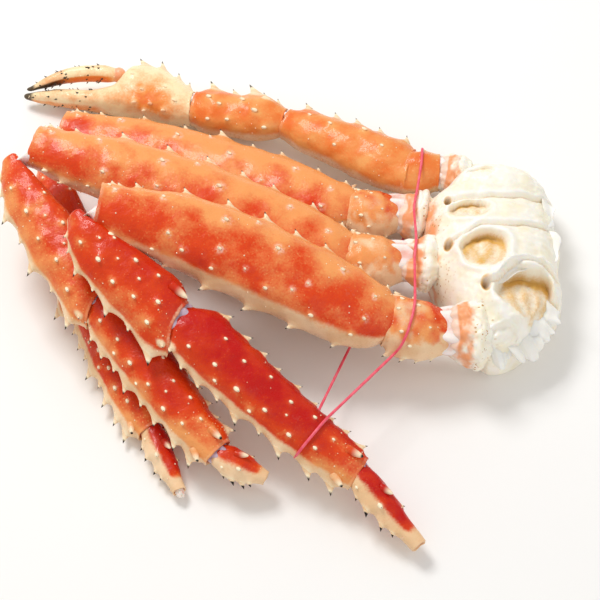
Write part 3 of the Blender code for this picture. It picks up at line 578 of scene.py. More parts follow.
def body_meat(name, looks):
    """Cooked shoulder: pale chalky shell and cartilage, tan hollows with painted shade on their back walls, and
    brown-rimmed pores.
    """
    material, shader = new_material(name)
    link = material.node_tree.links.new
    broad = noise(material, 12, 3.0, 0.55)
    fine = noise(material, 1.6, 3.0, 0.6)
    colour = blend(material, band_pass(material, broad, 0.35, 0.7), rgba(looks.body), rgba(looks.body_shade))
    peach = sums(material, "ADD", mark_of(material, "peach"), band_pass(material, broad, 0.3, 0.7, -0.25, 0.25))
    colour = blend(material, band_pass(material, peach, 0.25, 0.85), colour, rgba(looks.peach))
    hollow = sums(material, "ADD", mark_of(material, "hollow"), band_pass(material, fine, 0.3, 0.7, -0.08, 0.08))
    colour = blend(material, band_pass(material, hollow, 0.15, 0.95), colour, rgba(looks.hollow))
    place = add_node(material, "ShaderNodeTexCoord").outputs["Object"]
    stretched = add_node(material, "ShaderNodeMapping", [("Vector", place), ("Scale", (0.6, 1.0, 1.0))])
    cells = add_node(material, "ShaderNodeTexVoronoi", [
        ("Vector", stretched.outputs["Vector"]), ("Scale", 1 / (2.6 * MM)),
        ("Randomness", 0.9)]).outputs["Distance"]
    specks = sums(material, "MULTIPLY", band_pass(material, cells, 0.30, 0.18), mark_of(material, "speck"))
    colour = blend(material, specks, colour, rgba(looks.speck))
    colour = blend(material, mark_of(material, "brown"), colour, rgba(looks.brown))
    colour = blend(material, mark_of(material, "white"), colour, rgba(looks.white))
    link(colour, shader.inputs["Base Color"])
    link(band_pass(material, fine, 0.3, 0.7, 0.34, 0.52), shader.inputs["Roughness"])
    set_inputs(shader, IOR=1.42, Coat_Weight=0.15, Coat_Roughness=0.25, Subsurface_Weight=0.3,
               Subsurface_Radius=(1.0, 0.7, 0.45), Subsurface_Scale=3.5 * MM)
    relief = sums(material, "ADD", sums(material, "MULTIPLY", fine, 0.5), noise(material, 5, 3.0))
    add_bump(material, shader, relief, 0.5, 0.6)
    return material


def leg_meat(name, looks):
    """Cooked leg meat: white fibres with a thin red skin."""
    material, shader = new_material(name)
    link = material.node_tree.links.new
    cloudy = noise(material, 2.5, 3.0, 0.6)
    colour = blend(material, band_pass(material, cloudy, 0.5, 0.75), rgba(looks.meat), rgba(looks.meat_red))
    link(colour, shader.inputs["Base Color"])
    set_inputs(shader, Roughness=0.4, IOR=1.42, Coat_Weight=0.2, Coat_Roughness=0.2,
               Subsurface_Weight=0.35, Subsurface_Radius=(1.0, 0.6, 0.5), Subsurface_Scale=2.0 * MM)
    add_bump(material, shader, noise(material, 0.8, 2.0), 0.5, 0.3)
    return material


def band_rubber(name, looks):
    """Extruded latex rubber: satin, with a faint bloom along it."""
    material, shader = new_material(name)
    cloudy = noise(material, 4, 3.0)
    colour = blend(material, band_pass(material, cloudy, 0.3, 0.7), rgba(looks.rubber), rgba(looks.rubber_light))
    material.node_tree.links.new(colour, shader.inputs["Base Color"])
    set_inputs(shader, Roughness=0.42, IOR=1.52, Subsurface_Weight=0.1,
               Subsurface_Radius=(1.0, 0.3, 0.3), Subsurface_Scale=1.0 * MM)
    add_bump(material, shader, noise(material, 0.7, 2.0), 0.3, 0.1)
    return material


def studio_paper(name, looks):
    """Seamless photo paper: matt, with a very faint mottle."""
    material, shader = new_material(name)
    cloudy = noise(material, 60, 3.0)
    colour = blend(material, cloudy, rgba(looks.floor), rgba(tuple(c * 0.985 for c in looks.floor)))
    material.node_tree.links.new(colour, shader.inputs["Base Color"])
    set_inputs(shader, Roughness=0.9)
    return material


# ---- shells -------------------------------------------------------------------------------


OPEN_END = [(-0.01, 0.6), (0.0, 1.2), (0.04, 1.6), (0.10, 1.1), (0.15, -0.3), (0.32, -0.9),
            (0.66, -1.3)]
TUCK_END = [(0.02, 0.8), (0.06, 2.0), (0.14, 3.6), (0.26, 4.8), (0.45, 5.6), (0.72, 6.0)]
SHUT_END = [(0.05, 0.5), (0.14, 1.1), (0.30, 1.8), (0.55, 2.4), (0.80, 2.7)]
CUT_END = [(0.04, 0.25), (0.14, 0.35), (0.22, 0.0), (0.25, -2.2), (0.40, -4.6), (0.72, -5.2)]


FLAT_END = (0, 0, 1)
HOOD_BACK = 0.15               # share of a hood's reach by which the rest of the rim draws back


def station(share):
    """Fraction of the length for an even share, crowded towards both ends."""
    return share - END_CROWDING * np.sin(2 * math.pi * share) / (2 * math.pi)


def segment_grid(bone, profile, scale, rows, sides):
    """Ring grid of a limb's segment: ovals whose half sizes follow smooth curves of a profile."""
    share = station(np.linspace(0, 1, rows))
    angle = np.linspace(0, 2 * math.pi, sides, endpoint=False)
    marks = [row[0] for row in profile]
    ventral, dorsal, thick = (smooth_curve(marks, [row[k] for row in profile], share) * scale
                              for k in (1, 2, 3))
    centre = bone["start"] + bone["along"] * (bone["length"] * share)[:, None]
    centre = centre + bone["dorsal"] * (bone.get("bow", 0) * MM * np.sin(math.pi * share))[:, None]
    centre = centre - bone["dorsal"] * (bone.get("drop", 0) * MM * smoothstep(0.72, 1.0, share))[:, None]
    u, theta = np.meshgrid(share, angle, indexing="ij")
    grid = centre[:, None] + section_offset(bone, theta, ventral[:, None], dorsal[:, None],
                                            thick[:, None])
    for key, reach in (("start_plane", 1 - u), ("end_plane", u)):
        if key in bone:
            origin, normal = bone[key]
            ring = grid[0] if key == "start_plane" else grid[-1]
            slide = (origin - ring) @ normal / bone["along"].dot(normal)
            weight = smoothstep(0.85, 1.0, reach)
            grid = grid + bone["along"] * (slide[None, :] * weight)[..., None]
    return u, theta, grid


def mitre(before, after, gap=0.3):
    """Give two segments that meet tightly a shared slanting seam with a clearance."""
    normal = unit(before["along"] + after["along"])
    middle = (before["end"] + after["start"]) / 2
    before["end_plane"] = (middle - normal * gap * MM / 2, normal)
    after["start_plane"] = (middle + normal * gap * MM / 2, normal)


def fins(grid, centres, heights, lengths, widths, along):
    """Height added at each grid point: a thorn's foot round each centre, with sides that fall concavely.

    It is an exponential of the oval distance, which grows twice as fast towards the limb's tip.
    Also returns the largest share of a foot's height at each point.
    """
    total, share = np.zeros(grid.shape[:2]), np.zeros(grid.shape[:2])
    for centre, height, length, width in zip(centres, heights, lengths, widths):
        away = (grid - centre) / MM
        ahead = away @ along
        aside = np.maximum(np.sum(away ** 2, axis=-1) - ahead ** 2, 0.0)
        steps = np.where(ahead > 0, 1.9, 1.0) * ahead / length
        ridge = np.exp(-1.45 * np.sqrt(steps ** 2 + aside / width ** 2) ** 1.15)
        total = np.maximum(total, height * ridge) + 0.25 * np.minimum(total, height * ridge)
        share = np.maximum(share, ridge)
    return total, share


def find_places(u, theta, spots):
    """Grid rows and columns nearest to (fraction, degrees) places."""
    rows = np.array([int(np.abs(u[:, 0] - spot[0]).argmin()) for spot in spots], int)
    turn = theta[0]
    columns = np.array([int(np.abs((turn - math.radians(spot[1]) + math.pi) % (2 * math.pi)
                                   - math.pi).argmin()) for spot in spots], int)
    return rows, columns


def end_rows(ring, outward, steps, ragged=0.0, seed=0):
    """Rows that close an end: each is the ring shrunk by a share and moved out, in millimetres."""
    centre = ring.mean(axis=0)
    wobble = ripple(ring, 5, seed) * ragged
    rows = [centre + (ring - centre) * (1 - inset)
            + outward * (rise + wobble * max(0.0, 1 - 5 * inset) * min(1.0, step / 2))[:, None] * MM
            for step, (inset, rise) in enumerate(steps, 1)]
    return np.array(rows)


def spikes(grid, normals, spots, tables, along, marks, dark, edge, dark_face, tone):
    """Pointed spines on an edge, or rounded knobs on a face, leaning towards the limb's tip."""
    rows, columns = spots
    heights, leans = tables
    axes = unit(normals[rows, columns] + along * (leans * (0.60 if edge else 1.0))[:, None])
    tall = heights * (0.42 if edge else 0.34)
    clear = (grid[rows, columns] + axes * (tall * MM)[:, None])[:, 2] > 0.4 * MM
    rows, columns, axes, tall, heights = (values[clear] for values in (rows, columns, axes, tall, heights))
    share = np.linspace(0, 1, 11)[None]
    painted = {name: np.repeat(marks[name][rows, columns][:, None], 11, axis=1)
               for name in ("red", "cream")}
    one = np.ones((len(rows), 1))
    painted["spine"] = one * (smoothstep(0.25, 0.7, share) if edge else tone * smoothstep(0.0, 0.3, share))
    dark = dark if edge else dark_face
    painted["dark"] = one * smoothstep(dark, dark + 0.08, share)
    length, width = (0.34, 0.21) if edge else (0.31, 0.21)
    return cones(grid[rows, columns], normals[rows, columns], axes, along, tall,
                 0.35 + heights * length, 0.3 + heights * width, 0.3 + heights * (0.42 if edge else 0.1),
                 painted, blunt=0.10 if edge else 0.6, power=1.25 if edge else 1.0, sides=18)


def hard_segment(bone, profile, scale, rows, sides, spines, paint, sizes, seed, lumps=0.4,
                 granules=60, ends=("open", "open"), hoods=(FLAT_END, FLAT_END), dark_start=None,
                 dark_face=0.89, knob_tone=1.0, fade=0.0, teeth=()):
    """Patches of one shell: ring grid, low swellings, pointed spines and small granules.

    A hood, (reach, degrees, power), slides an end outwards on one side of the ring.
    """
    u, theta, grid = segment_grid(bone, profile, scale, rows, sides)
    along = bone["along"]
    for sign, weight, (reach, centre, power) in ((-1, smoothstep(0.4, 0.0, u), hoods[0]),
                                                 (1, smoothstep(0.6, 1.0, u), hoods[1])):
        slide = sign * reach * scale * MM * weight * (toward(theta, centre) ** power - HOOD_BACK)
        grid = grid + along * slide[..., None]
    normals = grid_normals(grid)
    swell = ripple(grid, 17, seed) * lumps + ripple(grid, 6, seed + 1) * lumps * 0.25
    grid = grid + normals * swell[..., None] * MM
    table = np.array([(*spine, 1.0)[:4] for spine in spines], float).reshape(-1, 4)
    places = find_places(u, theta, table)
    heights, leans = table[:, 2] * scale * sizes.spine_height, table[:, 3]
    heights = heights * np.random.default_rng(seed + 3).uniform(0.8, 1.15, len(heights))
    edge = (np.abs(table[:, 1]) < 32) | (np.abs(table[:, 1]) > 155)
    raised, share = fins(grid, grid[places[0][edge], places[1][edge]], heights[edge] * 0.74,
                         heights[edge] * 1.35 + 1.5, heights[edge] * 0.42 + 1.0, along)
    low, near = fins(grid, grid[places[0][~edge], places[1][~edge]], heights[~edge] * 0.34,
                     heights[~edge] * 0.8 + 1.2, heights[~edge] * 0.55 + 1.2, along)
    grid = grid + normals * ((raised + low) * MM)[..., None]
    grid = grid + along * (raised * share * 0.35 * MM)[..., None]
    normals = grid_normals(grid)
    marks = paint(u, theta, grid)
    marks["red"] = (marks["red"] - fade - 0.18 * smoothstep(0.05, 0.5, near) - 0.12 * share
                    - 0.22 * np.clip(marks["cream"], 0, 1))
    marks["cream"] = np.maximum(marks["cream"], 1.1 * smoothstep(0.14, 0.62, share))
    marks["spine"] = np.maximum(0.4 * knob_tone * smoothstep(0.45, 0.9, near),
                                0.85 * smoothstep(0.4, 0.9, share))
    # Painted highlight: the glints are kept to the swellings round the knobs.
    marks["bloom"] = marks.get("bloom", 0.0) * smoothstep(0.08, 0.4, near)
    rim = np.exp(-((1 - u) * bone["length"] / (0.9 * MM)) ** 2)
    marks["cream"] = np.maximum(marks["cream"], rim * 0.35)
    dark = dark_start or sizes.tip_start
    patches = []
    for chosen in (edge, ~edge):
        patches += spikes(grid, normals, (places[0][chosen], places[1][chosen]),
                          (heights[chosen], leans[chosen]), along, marks, dark, chosen is edge,
                          dark_face, knob_tone)
    if len(teeth):
        table = np.array(teeth, float)
        rows_at, columns_at = find_places(u, theta, table)
        long = table[:, 2] * scale
        axes = unit(normals[rows_at, columns_at] + along * table[:, 3][:, None])
        share = np.linspace(0, 1, 13)[None] * np.ones((len(table), 1))
        painted = {name: np.repeat(marks[name][rows_at, columns_at][:, None], 13, axis=1)
                   for name in ("red", "cream")}
        tilted = unit(normals[rows_at, columns_at] + along * 0.6 * table[:, 3][:, None])
        patches += cones(grid[rows_at, columns_at] - axes * 1.0 * MM, tilted, axes, along, long, 0.9 + long * 0.24,
                         0.9 + long * 0.22, long * 0.15,
                         dict(painted, spine=0.9 * smoothstep(0.3, 0.85, share),
                              dark=table[:, 4][:, None] * smoothstep(0.84, 0.92, share)),
                         blunt=0.62, rings=13, sides=18, power=1.0)
    draw = np.random.default_rng(seed + 7)
    if granules:
        gi, gk = draw.integers(3, rows - 3, granules), draw.integers(0, sides, granules)
        small = draw.uniform(0.40, 0.85, granules)
        share = np.linspace(0, 1, 5)[None] * np.ones((granules, 1))
        patches += cones(grid[gi, gk], normals[gi, gk], normals[gi, gk], along, small * 0.8,
                         small * 0.85, small * 0.85, small * 0 + 0.3,
                         dict(spine=smoothstep(0.0, 0.8, share) * 0.8,
                              red=np.repeat(marks["red"][gi, gk][:, None], 5, axis=1)),
                         rings=5, sides=8, blunt=0.3, power=0.8)
    shapes = dict(open=OPEN_END, shut=SHUT_END, cut=CUT_END, tuck=TUCK_END)
    before = end_rows(grid[0], -along, shapes[ends[0]], 0.2, seed)[::-1]
    after = end_rows(grid[-1], along, shapes[ends[1]], 0.9 if ends[1] == "cut" else 0.25, seed + 2)
    whole = np.concatenate([before, grid, after])
    full = {}
    for name, values in marks.items():
        full[name] = np.concatenate([np.repeat(values[:1], len(before), axis=0), values,
                                     np.repeat(values[-1:], len(after), axis=0)])
    full["inside"] = np.zeros(whole.shape[:2])
    full["inside"][:2] = 1.0 if ends[0] == "open" else 0.0
    full["inside"][-3:] = 1.0 if ends[1] != "shut" else 0.0
    patches = [tube(whole, full)] + patches
    for patch in patches:
        patch["points"][:, 2] = np.maximum(patch["points"][:, 2], 0.0)
    return patches


def merus_paint(u, theta, grid):
    """Light orange above, redder low down and at the knee, pale along the ventral edge; the lighter top and redder
    lower side are painted light and shade.
    """
    # Painted light and shade: lighter towards the dorsal edge, redder towards the ventral side; the extra red at the
    # knee and the random ripple are the shell's own colour.
    red = -0.05 + 0.48 * smoothstep(0.32, 0.95, toward(theta, 138)) + 0.06 * smoothstep(0.72, 1.0, u)
    red = red - 0.28 * smoothstep(0.80, 1.0, toward(theta, 185)) + 0.13 * ripple(grid, 22, 3)
    red = red + 0.14 * dip((1 - u) - 0.06, 0.03) * smoothstep(0.35, 0.75, toward(theta, 110))
    cream = 1.05 * smoothstep(0.83, 1.0, toward(theta, 188) + 0.05 * smoothstep(0.9, 0.2, u))
    cream = np.maximum(cream, 0.75 * smoothstep(0.6, 1.0, toward(theta, 262)))
    # Painted highlight: a thin pale line along the dorsal edge.
    cream = np.maximum(cream, 0.50 * smoothstep(0.975, 1.0, toward(theta, 0)))
    # Painted highlight: pink glints over the upper face towards the dorsal edge.
    bloom = 0.55 * smoothstep(0.45, 0.8, toward(theta, 45))
    return dict(red=red, cream=cream, grain=0.35 + 0.0 * theta, bloom=bloom)


def carpus_paint(u, theta, grid):
    """Pale spiny dorsal edge, then orange, then red towards the ventral side."""
    red = 0.47 + 0.32 * smoothstep(0.25, 0.9, toward(theta, 150)) + 0.06 * ripple(grid, 18, 4)
    cream = 0.95 * smoothstep(0.965, 1.0, toward(theta, -2))
    cream = np.maximum(cream, 0.7 * smoothstep(0.6, 1.0, toward(theta, 275)))
    return dict(red=red, cream=cream, grain=0.5 + 0.3 * smoothstep(0.7, 1.0, u))


def propodus_paint(u, theta, grid):
    """Pale dorsal edge, orange beside it and at the far end, and saturated red over the rest."""
    red = 0.52 + 0.44 * smoothstep(0.15, 0.6, toward(theta, 160)) + 0.10 * ripple(grid, 20, 6)
    red = red - 0.52 * smoothstep(0.68, 0.98, u) * smoothstep(0.98, 0.6, toward(theta, 190))
    cream = 1.0 * smoothstep(0.91, 0.99, toward(theta, -6))
    cream = np.maximum(cream, 0.75 * smoothstep(0.6, 1.0, toward(theta, 275)))
    return dict(red=red, cream=cream, grain=0.45 + 0.55 * smoothstep(0.6, 1.0, u))


def dactylus_paint(u, theta, grid):
    """Red ventral half with a rounded far end, cream dorsal half, tan at the cut end."""
    red = 0.70 + 0.28 * toward(theta, 120) + 0.1 * ripple(grid, 9, 8)
    reach = 0.76 - 0.16 * (1 - smoothstep(0.0, 0.5, toward(theta, 125)))
    cream = smoothstep(0.48, 0.86, toward(theta, 2)) + smoothstep(reach, reach + 0.14, u)
    red = red - 0.45 * smoothstep(reach - 0.15, reach + 0.1, u)
    return dict(red=red, cream=np.clip(cream, 0, 1.1), grain=0.5 + 0.0 * theta)


def ischium_paint(u, theta, grid):
    """Orange patches on a paler ground, pale lower edge and pale rims."""
    red = 0.22 * toward(theta, 60) + 0.14 * ripple(grid, 9, 5) + 0.18 * smoothstep(0.40, 0.05, u)
    cream = 0.95 * smoothstep(0.52, 1.0, toward(theta, 180) + 0.10 * ripple(grid, 7, 11))
    cream = np.maximum(cream, 0.8 * smoothstep(0.6, 1.0, toward(theta, 275)))
    cream = np.maximum(cream, 0.25 + 0.40 * ripple(grid, 13, 9) - 0.40 * smoothstep(0.45, 0.10, u))
    return dict(red=red, cream=cream, grain=0.5 + 0.0 * theta)


def arm_paint(u, theta, grid):
    """Soft orange on top, smooth cream below."""
    red = 0.06 + 0.20 * toward(theta, 90) + 0.16 * smoothstep(0.75, 1.0, u) + 0.14 * ripple(grid, 14, 7)
    cream = 0.65 * smoothstep(0.82, 0.97, toward(theta, 195))
    cream = np.maximum(cream, 0.8 * smoothstep(0.6, 1.0, toward(theta, 275)))
    return dict(red=red, cream=cream, grain=0.4 + 0.0 * theta)


def palm_paint(u, theta, grid):
    """Cream-yellow with one orange patch on its face and a grey-brown cutting edge at the tip."""
    patch = np.exp(-((u - 0.225) / 0.18) ** 2 - ((theta - math.radians(104)) / 0.72) ** 2)
    red = -0.04 + 0.85 * patch + 0.12 * smoothstep(0.4, 0.6, u) + 0.05 * ripple(grid, 9, 12)
    red = red + 0.35 * smoothstep(0.80, 0.95, toward(theta, 195)) * smoothstep(0.45, 0.6, u)
    dark = smoothstep(0.70, 0.90, u) * smoothstep(0.86, 0.96, toward(theta, 25))
    dark = np.maximum(dark, smoothstep(0.95, 0.985, u))
    return dict(red=red, cream=0.0 * theta, dark=0.9 * dark, grain=0.15 + 0.0 * theta)


def finger_paint(u, theta, grid):
    """Cream with an orange strip along the inner side and a dark cutting edge."""
    strip = smoothstep(0.88, 0.97, toward(theta, 165)) * smoothstep(0.85, 0.6, u) * smoothstep(0.0, 0.15, u)
    dark = smoothstep(0.50, 0.72, u) * smoothstep(0.86, 0.96, toward(theta, 165))
    dark = np.maximum(dark, smoothstep(0.93, 0.98, u))
    return dict(red=0.10 + 0.55 * strip, cream=0.0 * theta, dark=0.9 * dark, grain=0.15 + 0.0 * theta)


# ---- soft joints and hips -----------------------------------------------------------------


def skin_bridge(before, before_profile, before_scale, after, after_profile, after_scale, share,
                seed, slack=0.35, rows=60, sides=90, folds=7, waist=1.0, inside=1.6):
    """Folded skin between two segments: ovals along a curve that leaves one and enters the other.

    The curve is a cubic with both ends' directions; the ovals blend, with waves across them.
    """
    t = np.linspace(0, 1, rows)
    start = before["end"] - before["along"] * 2.5 * MM
    end = after["start"] + after["along"] * inside * MM
    reach = np.linalg.norm(end - start) * (1 + slack)
    h = [2 * t ** 3 - 3 * t ** 2 + 1, t ** 3 - 2 * t ** 2 + t, 3 * t ** 2 - 2 * t ** 3, t ** 3 - t ** 2]
    line = (h[0][:, None] * start + h[1][:, None] * before["along"] * reach
            + h[2][:, None] * end + h[3][:, None] * after["along"] * reach)
    heading = unit(np.gradient(line, axis=0))
    face = unit(before["face"] * (1 - t)[:, None] + after["face"] * t[:, None])
    face = unit(face - heading * np.sum(face * heading, axis=1)[:, None])
    dorsal = np.cross(heading, face)
    blend_in = smoothstep(0, 1, t)
    first = [value * before_scale * share for value in before_profile[-1][1:]]
    last = [value * after_scale * share for value in after_profile[0][1:]]
    ventral, upper, thick = ((one * (1 - blend_in) + two * blend_in) * (1 - (1 - waist) * np.sin(math.pi * t))
                             for one, two in zip(first, last))
    angle = np.linspace(0, 2 * math.pi, sides, endpoint=False)
    across = np.sign(np.cos(angle)) * np.abs(np.cos(angle)) ** SECTION_POWER
    rise = np.sign(np.sin(angle)) * np.abs(np.sin(angle)) ** SECTION_POWER
    wave = np.sin(angle * folds + 0.8 * ripple(np.stack([np.cos(angle), np.sin(angle), 0 * angle], 1) * 8 * MM, 9, seed))
    swell = 1 + 0.075 * wave * np.sin(math.pi * t)[:, None]
    width = np.where(across > 0, upper[:, None], ventral[:, None]) * across * swell * MM
    depth = thick[:, None] * rise * swell * MM
    grid = line[:, None] + dorsal[:, None] * width[..., None] + face[:, None] * depth[..., None]
    # The fold mark rises and falls with the bulges, so the troughs between folds are painted in shade.
    fold = 0.7 + 0.3 * np.broadcast_to(wave, grid.shape[:2])
    return [tube(grid, dict(fold=fold, orange=0.0 * fold))]


def knee_web(bones, scale, seed, rows=50, sides=110):
    """The knee's skin: a straight ruled tube from inside one shell's end to inside the other's.

    Each ruling joins the same angle of the two ovals; waves along the tube draw it into folds.
    """
    angle = np.linspace(0, 2 * math.pi, sides, endpoint=False)
    rings = []
    for bone, profile, place, shares in ((bones["merus"], MERUS, 0.985, (0.95, 0.80, 0.92)),
                                         (bones["carpus"], CARPUS, 0.050, (0.94, 0.84, 0.90))):
        marks = [row[0] for row in profile]
        halves = [np.interp(place, marks, [row[k] for row in profile]) * scale * share
                  for k, share in zip((1, 2, 3), shares)]
        centre = bone["start"] + bone["along"] * bone["length"] * place
        centre = centre - bone["dorsal"] * bone.get("drop", 0) * MM
        rings.append(centre + section_offset(bone, angle, *halves))
    t = np.linspace(0, 1, rows)[:, None]
    grid = rings[0] * (1 - t[..., None]) + rings[1] * t[..., None]
    wave = np.sin(angle * 7 + seed) * np.sin(math.pi * t)
    grid = grid + (grid - grid.mean(axis=1, keepdims=True)) * (0.012 * wave)[..., None]
    # Painted shade: the fold mark is lower in the wave troughs.
    return [tube(grid, dict(fold=0.92 + 0.10 * wave, orange=0.0 * wave))]


def hip_ring(bone, profile, scale, seed, rows=110, sides=150):
    """The coxa: a lumpy ring that widens into the shoulder and is drawn into folds at its rim."""
    u, theta, grid = segment_grid(bone, profile, scale, rows, sides)
    normals = grid_normals(grid)
    swell = 1.2 * ripple(grid, 14, seed) + 0.5 * ripple(grid, 5, seed + 1) - 4.0 * smoothstep(0.38, 0.0, u)
    sway = ripple(grid, 12, seed + 2)
    swell = swell + 0.25 * np.sin(theta * 8 + 2.5 * sway) * smoothstep(0.45, 0.95, u)
    swell = swell - 0.7 * dip(u - 0.52 - 0.14 * sway, 0.05) * smoothstep(0.3, 0.8, toward(theta, 130))
    grid = grid + normals * (swell * MM)[..., None]
    grid = grid + bone["along"] * (1.3 * MM * smoothstep(0.6, 1.0, u) * ripple(grid, 11, seed + 3))[..., None]
    patches = smoothstep(-0.35, 0.6, 0.6 * ripple(grid, 15, seed + 4) + 1.1 * toward(theta, 125) - 0.45)
    first = 0.1 if profile is ARM_COXA else 0.32
    peach = 0.85 * smoothstep(first, first + 0.40, u) * patches
    speck = (smoothstep(0.0, 0.15, u) * smoothstep(0.70, 0.45, u)
             * smoothstep(-0.1, 0.5, ripple(grid, 12, seed + 5) + toward(theta, 135) - 0.55))
    white = smoothstep(0.93, 1.0, u) * 0.5
    ends = [end_rows(grid[0], -bone["along"], SHUT_END)[::-1], grid,
            end_rows(grid[-1], bone["along"], TUCK_END[:4])]
    whole = np.concatenate(ends)
    marks = {}
    for name, values in dict(peach=peach, speck=speck, white=white).items():
        marks[name] = np.concatenate([np.repeat(values[:1], len(ends[0]), axis=0), values,
                                      np.repeat(values[-1:], len(ends[2]), axis=0)])
    return [tube(whole, marks)]


# ---- shoulder -----------------------------------------------------------------------------


SEAMS = [  # (x, y) points of each seam's line
    [(91, 70), (97, 71), (116, 73), (134, 74), (156, 78)],
    [(90, 36), (97, 41), (110, 48), (131, 50), (160, 56)],
    [(111, 3), (116, 6), (124, 14), (134, 21), (146, 25), (156, 20)],
]
SEAM_RIDGES = [0.9, 1.4, 3.0]
HOLLOWS = [  # x, y, half width, half length, depth, how tan, rim
    (104, 61, 13.0, 8.5, 6.5, 0.95, 0.8), (111.5, 29, 15.5, 15.0, 9.5, 1.2, 2.0),
    (137, 0, 20, 18, 15.0, 1.08, 2.4), (112, 91, 9, 5, 2.5, 0.45, 0.5),
    (122, -26, 9, 6, 3.0, 0.25, 0.5),
]
PORES = [(91, 70, 2.1), (90, 35, 2.6), (111, 3, 2.9)]


def shoulder_patch():
    """The cut half body: rounded box sections from front to back, then seams, chambers and pores.

    Each section is a rounded oval between a left and a right line, as high as a height line;
    the top is then lowered by smooth bell curves, and the cut side is frayed by fine waves.
    """
    rows, sides = 250, 300
    front, back = SHOULDER_LEFT[0][0], SHOULDER_LEFT[-1][0]
    place = front + (back - front) * station(np.linspace(0, 1, rows))
    angle = np.linspace(0, 2 * math.pi, sides, endpoint=False)
    left, right, height, lift = (
        smooth_curve([row[0] for row in table], [row[1] for row in table], place)[:, None]
        for table in (SHOULDER_LEFT, SHOULDER_RIGHT, SHOULDER_HEIGHT, SHOULDER_LIFT))
    boxy = 0.75 - 0.33 * smoothstep(0.0, 0.35, np.cos(angle))
    across = np.sign(np.cos(angle)) * np.abs(np.cos(angle)) ** boxy
    rise = np.sign(np.sin(angle)) * np.abs(np.sin(angle)) ** boxy
    x = (left + right) / 2 + (right - left) / 2 * across
    local = height * (1 - CUT_SLOPE * np.maximum(across, 0.0) ** 2)
    z = lift + (local - lift) * (0.46 + 0.54 * rise) - BASE_SINK
    top = np.maximum(rise, 0.0)
    y = np.broadcast_to(place[:, None], x.shape).copy()
    spot = np.stack([x, y, z], axis=-1) * MM
    marks = {name: np.zeros(x.shape) for name in ("hollow", "brown", "white", "peach", "speck")}
    for line, ridge in zip(SEAMS, SEAM_RIDGES):
        way = np.interp(x, [p[0] for p in line], [p[1] for p in line])
        side = y - way + 0.8 * ripple(spot, 14, 31)
        near = smoothstep(line[0][0] - 8, line[0][0] + 4, x) * top
        z = z - near * (2.6 * dip(side + 0.8, 1.2) + 1.6 * dip(side + 2, 6.0))
        z = z + near * ridge * dip(side - 1.6, 1.8)
        marks["white"] = np.maximum(marks["white"], 0.8 * near * dip(side - 1.8, 2.0))
        marks["hollow"] = np.maximum(marks["hollow"], 0.55 * near * dip(side + 0.9, 0.9))
    for cx, cy, width, length, depth, tan, rim in HOLLOWS:
        away = np.sqrt(((x - cx) / width) ** 2 + ((y - cy) / length) ** 2)
        away = away * (1 + 0.07 * ripple(spot, 16, int(cx)))
        back_share = np.clip((y - cy) / length, -1, 1)
        steep = smoothstep(1.02, 0.86, away) * smoothstep(-0.9, 0.5, back_share)
        slope = smoothstep(1.05, 0.2, away) * smoothstep(0.9, -0.6, back_share)
        inside = np.clip(steep + slope, 0, 1) * top
        ribs = 0.9 * ripple(spot * np.array([1.0, 0.45, 1.0]), 6.0, 33 + int(cx))
        z = z - inside * (depth * (0.62 + 0.38 * back_share) + ribs) + rim * top * dip(away - 1.13, 0.12)
        floor = smoothstep(1.0, 0.82, away) * top
        # Painted shade: each hollow's back wall, turned away from the light, takes more tan and some brown.
        painted_back_wall_shade = smoothstep(0.15, 0.85, back_share + 0.1 * ripple(spot, 6, 34)) * smoothstep(0.45, 0.8, away)
        marks["hollow"] = np.maximum(marks["hollow"], floor * tan * (0.52 + 0.60 * painted_back_wall_shade - 0.16 * ribs))
        marks["brown"] = np.maximum(marks["brown"], 0.16 * floor * tan * painted_back_wall_shade)
        marks["white"] = np.maximum(marks["white"], 0.8 * top * dip(away - 1.14, 0.11))
    for cx, cy, size in PORES:
        away = np.sqrt((x - cx) ** 2 + ((y - cy) / 1.5) ** 2)
        z = z - top * 2.6 * smoothstep(size, size * 0.4, away) + top * 1.3 * dip(away - size * 1.4, size * 0.4)
        marks["brown"] = np.maximum(marks["brown"], 0.8 * top * smoothstep(size, size * 0.6, away)
                                    * smoothstep(-1.0, 0.3, (y - cy) / size))
        marks["hollow"] = np.maximum(marks["hollow"], top * smoothstep(size * 1.5, size * 0.9, away))
    cut = smoothstep(0.72, 1.0, across)
    level = spot * np.array([1.0, 1.0, 0.15])
    calm = smoothstep(-26, -6, y) * smoothstep(109, 97, y)
    x = x + cut * calm * (ripple(level, 9, 40) * 1.0 + ripple(level, 3.5, 41) * 0.35 - 0.4)
    fan = np.sin((y - 40) * 1.1 + 0.05 * (x - 90) * (y - 40) * 0.12 + ripple(spot, 20, 42) * 2)
    z = z + top * (0.22 * fan * smoothstep(120, 140, x) + ripple(spot, 15, 43) * 0.9 + ripple(spot, 4.5, 44) * 0.3)
    z = np.where(rise <= 0, z + ripple(spot, 9, 45) * 0.4 * smoothstep(0, -0.3, rise), z)
    z = np.maximum(z, 0.0)
    marks["peach"] = np.maximum(marks["peach"], 0.75 * smoothstep(90, 78, x) * smoothstep(-10, 20, y)
                                + 0.25 * smoothstep(-14, -34, y) * smoothstep(115, 95, x))
    marks["peach"] = marks["peach"] + 0.6 * dip(x - 95, 10) * dip(y - 97, 9)
    marks["speck"] = smoothstep(0.0, 0.2, rise) * (dip(x - 109, 7) * dip(y + 22, 12) + dip(x - 84, 7) * dip(y - 14, 11)
                                                   + dip(x - 84, 6) * dip(y - 54, 9))
    grid = np.stack([x, y, z], axis=-1) * MM + ORIGIN
    # The grid runs back; turned round, its rings keep the outward order of the limbs' grids.
    return [tube(grid[:, ::-1], {name: values[:, ::-1] for name, values in marks.items()})]


